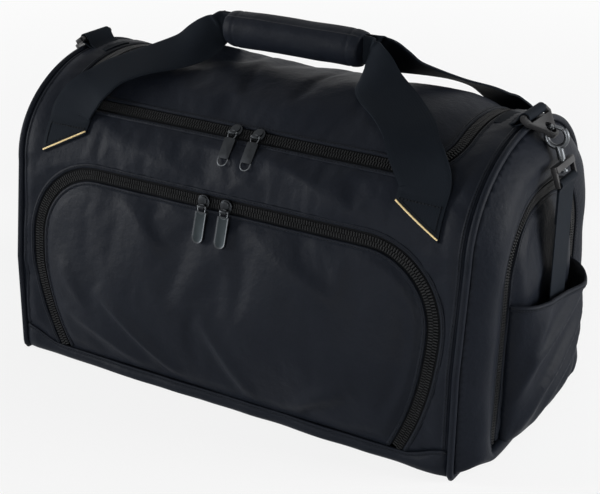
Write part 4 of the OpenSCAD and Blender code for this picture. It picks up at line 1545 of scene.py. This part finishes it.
# %% Moulded fittings
def eased_copy(node, finish, slot, ease):
    """A copy of a measured node with merged faces and eased edges."""
    source = frame["nodes"][node]
    made = new_piece(node + "_moulded", source.data.copy())
    paint(made, finish)
    with editing(made):
        bpy.ops.mesh.remove_doubles(threshold=1e-5)
        bpy.ops.mesh.dissolve_limited(angle_limit=math.radians(1.5))
    modify(made, "BEVEL", width=ease, segments=3, limit_method="ANGLE", angle_limit=math.radians(40))
    return dress(flatten(apply_all(made)), source["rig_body"], slot, node)


FITTINGS = (
    ("left_ring", MOULDING, "moulding", 0.8),
    ("right_ring", MOULDING, "moulding", 0.8),
    ("hook", GUNMETAL, "moulding", 0.5),
    ("stowed_hook", MOULDING, "moulding", 0.5),
    ("strap_swivel", MOULDING, "moulding", 0.5),
    ("hook_gate", GUNMETAL, "moulding", 0.4),
    ("base_board", BOARD, "board", 1.0),
)
for node, finish, slot, ease in FITTINGS:
    eased_copy(node, finish, slot, ease * MM)
print("fittings eased", len(FITTINGS))

# %% [markdown]
# ## Sliders and pullers
# A zip slider is a small die casting with two cheeks that hold a pin, and the puller hangs from the pin. One
# slider and two kinds of puller are modelled lying flat at the origin, then copied on to each zip.


# %% Modelling helpers
def pick(piece, kind, test):
    """Enters edit mode with those faces or edges selected whose points pass the test."""
    only(piece)
    bpy.ops.object.mode_set(mode="EDIT")
    bpy.ops.mesh.select_mode(type=kind)
    bpy.ops.mesh.select_all(action="DESELECT")
    bpy.ops.object.mode_set(mode="OBJECT")
    for item in piece.data.polygons if kind == "FACE" else piece.data.edges:
        item.select = test([piece.data.vertices[k].co for k in item.vertices])
    bpy.ops.object.mode_set(mode="EDIT")


def block(size, place, corner, segments=3, foot=False):
    """A block with rounded upright corners, or only those at its foot, sizes in millimetres."""
    bpy.ops.mesh.primitive_cube_add(size=1, location=Vector(place) * MM)
    made = bpy.context.object
    bpy.ops.transform.resize(value=Vector(size) * MM)
    bpy.ops.object.transform_apply()
    top = place[1] * MM if foot else math.inf
    pick(made, "EDGE", lambda ends: (ends[0] - ends[1]).xy.length < 1e-7 and ends[0].y < top)
    bpy.ops.mesh.bevel(offset=corner * MM, segments=segments, affect="EDGES")
    bpy.ops.object.mode_set(mode="OBJECT")
    return made


def rod(radius, length, place, wall=0):
    """A round rod along X, or a tube with a wall, sizes in millimetres."""
    bpy.ops.mesh.primitive_cylinder_add(
        vertices=20, radius=radius * MM, depth=length * MM, location=Vector(place) * MM,
        rotation=(0, math.pi / 2, 0), end_fill_type="NOTHING" if wall else "NGON",
    )
    made = bpy.context.object
    bpy.ops.object.transform_apply()
    if wall:
        modify(made, "SOLIDIFY", thickness=wall * MM)
        apply_all(made)
    return made


def ring(place_y, wide, tall, wire):
    """A flat oval ring of round wire in the puller's plane, sizes in millimetres."""
    bpy.ops.curve.primitive_bezier_circle_add(radius=1, location=(0, place_y * MM, 0))
    made = bpy.context.object
    made.scale = (wide * MM, tall * MM, 1)
    bpy.ops.object.transform_apply()
    assign(made.data, bevel_depth=wire * MM, bevel_resolution=3, resolution_u=8)
    bpy.ops.object.convert(target="MESH")
    return bpy.context.object


def cast(name, parts, finishes, ease):
    """Joins parts, each with its finish, into one casting with eased edges."""
    for part, finish in zip(parts, finishes):
        paint(part, finish)
    made = join(name, parts)
    modify(made, "BEVEL", width=ease, segments=2, limit_method="ANGLE", angle_limit=math.radians(35))
    return flatten(apply_all(made))


print("modelling helpers ready")

# %% Slider and pullers
PIN_Y, PIN_Z = -4.4, 6.0
slider_model = cast(
    "slider_model",
    [
        block((13.4, 14, 2.6), (0, 0.4, 2.3), 6.4, 8),
        block((1.6, 2.8, 3.8), (-4.4, PIN_Y, 5.4), 0.5),
        block((1.6, 2.8, 3.8), (4.4, PIN_Y, 5.4), 0.5),
        block((8.6, 8.2, 1.8), (0, 2.2, 4.3), 3.9, 8),
        rod(1.0, 8.8, (0, PIN_Y, PIN_Z)),
    ],
    [BLACK_NICKEL, GUNMETAL, GUNMETAL, BLACK_NICKEL, GUNMETAL], 0.7 * MM,
)


def eye():
    """The ring and the tube by which a puller hangs on its pin."""
    return [ring(-2.2, 4.3, 4.6, 0.95), rod(2.2, 6, (0, 0, 0), 0.85)]


plate = block((12.6, 31.5, 2.4), (0, -20.2, 0), 6.1, 10, foot=True)
pick(plate, "FACE", lambda points: min(p.z for p in points) > 1.1 * MM)
bpy.ops.mesh.inset(thickness=1.4 * MM)
bpy.ops.transform.translate(value=(0, 0, -0.7 * MM))
bpy.ops.object.mode_set(mode="OBJECT")
plate_model = cast("plate_model", [plate, *eye()], [RIM_METAL, GUNMETAL, BLACK_NICKEL], 0.35 * MM)
# The large flat face inside the rim is the recess.
plate_model.data.materials.append(DULL_METAL)
for face in plate_model.data.polygons:
    if face.normal.z > 0.9 and abs(face.center.z - 0.5 * MM) < 0.15 * MM and face.area > 20 * MM**2:
        face.material_index = len(plate_model.data.materials) - 1

# The main pullers' plates are black nickel, darker than the front pullers' plates: partly their own darker plating,
# partly painted shade for pullers that hang in shadow.
loop_puller_model = cast(
    "loop_puller_model",
    [ring(-28.6, 5.4, 6.2, 1.15), block((12, 22, 2.2), (0, -16.5, 0), 1.8, 4), *eye()],
    [GUNMETAL, BLACK_NICKEL, GUNMETAL, BLACK_NICKEL], 0.35 * MM,
)
print("slider and pullers", [len(m.data.polygons) for m in (slider_model, plate_model, loop_puller_model)])

# %% Sliders and pullers in place
ZIP_Z = WALL_H + TOP_H * math.sqrt(1 - (LID_FRONT / TOP_HW) ** 2)
FRONT_ZIP_UP = FRONT_ARCH["top"] - WALL_H
FRONT_ZIP_Y = -TOP_HW * math.sqrt(1 - (FRONT_ZIP_UP / TOP_H) ** 2)
LEAN = math.atan((TOP_HW / TOP_H) ** 2 * FRONT_ZIP_UP / -FRONT_ZIP_Y)
FRONT_TILT = math.pi / 2 - LEAN
MAIN_MID, FRONT_MID, SLIDER_OFF = 0.004, -0.010, 0.013
MAIN_HANG, FRONT_HANG, END_HANG = 12, -13.5, -2
END_SLIDER_Z = 0.066
END_SLIDER_Y = JOINTS["right_puller_swing"]["pos_m"][1]


def seat(x, y, z, tilt):
    """A place on the front or the rounded top whose own Z points out of the cloth."""
    return Matrix.Translation((x, y, z)) @ Matrix.Rotation(tilt, 4, "X")


def end_seat(side):
    """The same on an end, with its own Y up."""
    axes = Matrix(((0, 0, side), (side, 0, 0), (0, 1, 0))).to_4x4()
    return Matrix.Translation((side * FACE_X, END_SLIDER_Y, END_SLIDER_Z)) @ axes


FITTED = []
for side, word in ENDS:
    where = seat(MAIN_MID + side * SLIDER_OFF, -LID_FRONT, ZIP_Z, ZIP_SLOPE)
    FITTED.append(("main", "_" + word, where, loop_puller_model, MAIN_HANG))
for side, word in ENDS:
    where = seat(FRONT_MID + side * SLIDER_OFF, FRONT_ZIP_Y, FRONT_ARCH["top"], FRONT_TILT)
    FITTED.append(("front", "_" + word, where, plate_model, FRONT_HANG))
FITTED += [(word, "", end_seat(side), plate_model, END_HANG) for side, word in ENDS[::-1]]


def fit(model, name, where, body, slot):
    """A copy of a model with its own mesh, moved to its place."""
    made = new_piece(name, model.data.copy())
    made.data.transform(where)
    return dress(made, body, slot, body)


for zip_name, word, where, puller, swing in FITTED:
    slider_body, puller_body = zip_name + "_slider" + word, zip_name + "_puller" + word
    fit(slider_model, slider_body + "_cast", where, slider_body, "gunmetal")
    hang = where @ Matrix.Translation((0, PIN_Y * MM, PIN_Z * MM)) @ Matrix.Rotation(math.radians(swing), 4, "X")
    fit(puller, puller_body + "_cast", hang, puller_body, "gunmetal")
for model in (slider_model, plate_model, loop_puller_model):
    bpy.data.objects.remove(model)
print("six sliders and six pullers in place")

# %% [markdown]
# ## Pocket linings
# Behind each zipped pocket hangs a shallow lining. It shows when a pocket is folded open, as a sheet whose
# edge is drawn forward to the back of the zip.

# %% Pocket linings
LINER_DEPTH, LINER_BACK = 16 * MM, 17 * MM
LINER_Y = -(HALF_D - CLOTH_T - LINER_BACK)
LINER_X = FACE_X - CLOTH_T - LINER_BACK


def liner_lift(flat, rim, room):
    """Draws the lining's edge forward to the zip, at most as far as there is room."""
    edge = np.clip(1 - rim / (9 * MM), 0, 1)
    drawn = np.minimum(LINER_DEPTH, room) * smooth_step(edge)
    return drawn + (1 - edge) * (1.5 * MM + rumple(flat, "liner"))


def front_liner_lift(flat, rim):
    wall = np.interp(wall_s(flat[:, 1]), HALF_RUN, -HALF_LINE[:, 0])
    return liner_lift(flat, rim, wall - CLOTH_T - 0.8 * MM + LINER_Y)


def end_liner_lift(flat, rim):
    return liner_lift(flat, rim, LINER_DEPTH)


LINER_FOOT = SEAM_Z + 2 * MM
linings = [("front", FRONT_ARCH, on_plane(1, LINER_Y), front_liner_lift)]
linings += [(word, END_ARCH, on_plane(0, side * LINER_X), end_liner_lift) for side, word in ENDS[::-1]]
for word, shape, place, lift in linings:
    outline = arch(shape, -ZIP_HW - MM, LINER_FOOT)
    lining = lay(word + "_lining", [outline], 6 * MM, place, lift, finish=LINING)
    thicken(lining, LINING_T, relax=0)
    dress(lining, "bag", "lining", word + "_liner")
    sheet(lining, word + "_zip_frame", held="hung")
print("three pocket linings")

# %% [markdown]
# ## Hems and stitches
# Beside each zip the cloth is turned under and sewn down, which shows as a narrow raised hem with a row of
# stitches. The hems follow the finished cloth, so they are laid on it by casting rays at it.

# %% One stitch
STITCH_PITCH = 3.6 * MM
bpy.ops.mesh.primitive_cylinder_add(vertices=5, radius=0.34 * MM, depth=2.7 * MM, rotation=(math.pi / 2, 0, 0))
bpy.ops.object.transform_apply()
STITCH = take_shape()


def stitches(name, places, out):
    """A row of stitches along a line."""
    rows = even(np.hstack((places, out)), STITCH_PITCH)
    along, across, up = strip_axes(rows[:, :3], rows[:, 3:])
    return copies(name, STITCH, rows[:, :3], (across, along, up), THREAD)


def hem(name, line, place, cloth, width=2.2 * MM, rise=0.9 * MM):
    """A narrow raised hem on a cloth along a flat line, with stitches on it."""
    places, out = place(even(line, 3 * MM))
    places = settle(places, out, cloth, 0.1 * MM)
    smooth = places.copy()
    smooth[1:-1] = (places[:-2] + places[1:-1] + places[2:]) / 3
    edge = sweep(name, smooth, out, round_section(width, rise, 8), NYLON)
    up = strip_axes(smooth, out)[2]
    return join(name, [edge, stitches(name + "_row", smooth + up * rise, out)])


print("stitch with", len(STITCH[1]), "faces")

# %% Hems along the zips
HEM_IN = ZIP_HW + 2.4 * MM
HEMS = [
    ("lid_gap_hem", on_top(lid_u(-HEM_IN, REAR_Y - 2 * MM)), on_wrap, front_cloth, "bag"),
    ("lid_hem", on_top(lid_u(HEM_IN, ZIP_REAR - 4 * MM)), on_wrap, lid_cloth, "lid"),
    ("front_gap_hem", on_front(arch(FRONT_ARCH, -HEM_IN, SEAM_Z + MM)), on_wrap, front_cloth, "bag"),
    ("front_pocket_hem", on_front(arch(FRONT_ARCH, HEM_IN, POCKET_FOOT + MM)), on_wrap, front_pocket, "front_flap"),
]
outer, inner = arch(END_ARCH, -HEM_IN, SEAM_Z + MM), arch(END_ARCH, HEM_IN, POCKET_FOOT + MM)
for side, word in ENDS:
    inner_body = "bag" if side > 0 else "left_flap"
    HEMS.append((word + "_border_hem", outer, END_FACE[side], borders[word], "bag"))
    HEMS.append((word + "_pocket_hem", inner, END_FACE[side], end_pockets[word], inner_body))
for name, line, place, cloth, body in HEMS:
    if body in FLAP_FEET:
        dress_flap(hem(name, line, place, cloth), body)
    else:
        dress(hem(name, line, place, cloth), body, "nylon")
print("hems along four zips", len(HEMS))

# %% Base, rim and edge hems
base_seam = seam_run(-WRAP_X + 2 * MM, WRAP_X - 2 * MM) - (0, 2.5 * MM)
for word, line in (("front", base_seam), ("rear", to_rear(base_seam))):
    dress(hem(word + "_base_hem", line, on_wrap, tray_cloth, 2.6 * MM, 0.8 * MM), "bag", "nylon")
FLANGE_X = WRAP_X - 5 * MM
FLANGES = (
    ("_front_flange", SEAM_S + SEAM_RISE + 2 * MM, HINGE_S - 2 * MM, front_cloth),
    ("_rear_flange", HINGE_S + 2 * MM, 2 * TOP_S - SEAM_S - SEAM_RISE, rear_cloth),
)
for side, word in ENDS:
    for name, first, last, cloth in FLANGES:
        edge = np.array([[side * FLANGE_X, first], [side * FLANGE_X, last]])
        dress(hem(word + name, edge, on_wrap, cloth, 2.4 * MM, 0.7 * MM), "bag", "nylon")
rim_line = np.array([slip_at(y, z - 3 * MM) for y, z in slip_rim])
dress(hem("slip_rim_hem", rim_line, on_slip, slip_cloth, 3.2 * MM, 1.4 * MM), "bag", "nylon")
print("base, flange and slip pocket hems")

# %% Stitches on the handles' sewn ends
STITCH_V, STITCH_LOW, STITCH_TOP = 0.84, 6 * MM, ANCHOR_TOP - 2 * MM
low = [ANCHOR_Z + (1 - v) / 2 * ANCHOR_CUT + STITCH_LOW for v in (-STITCH_V, STITCH_V)]
corners = [(-STITCH_V, low[0]), (STITCH_V, low[1]), (STITCH_V, STITCH_TOP), (-STITCH_V, STITCH_TOP)]
for mirror_y, word in SIDES:
    rows = []
    for side in (-1, 1):
        for a, b in ((1, 2), (2, 3), (0, 2), (1, 3)):
            v, z = (np.linspace(corners[a][k], corners[b][k], 12) for k in (0, 1))
            places, out = sewn(LEG_X + v * WEB_W / 2, z, 0.45 * MM + WEB_T, (side, mirror_y, 1))
            rows.append(stitches("row", places, out))
    dress(join(word + "_anchor_stitches", rows), "bag", "webbing")
print("stitches on four handle ends")
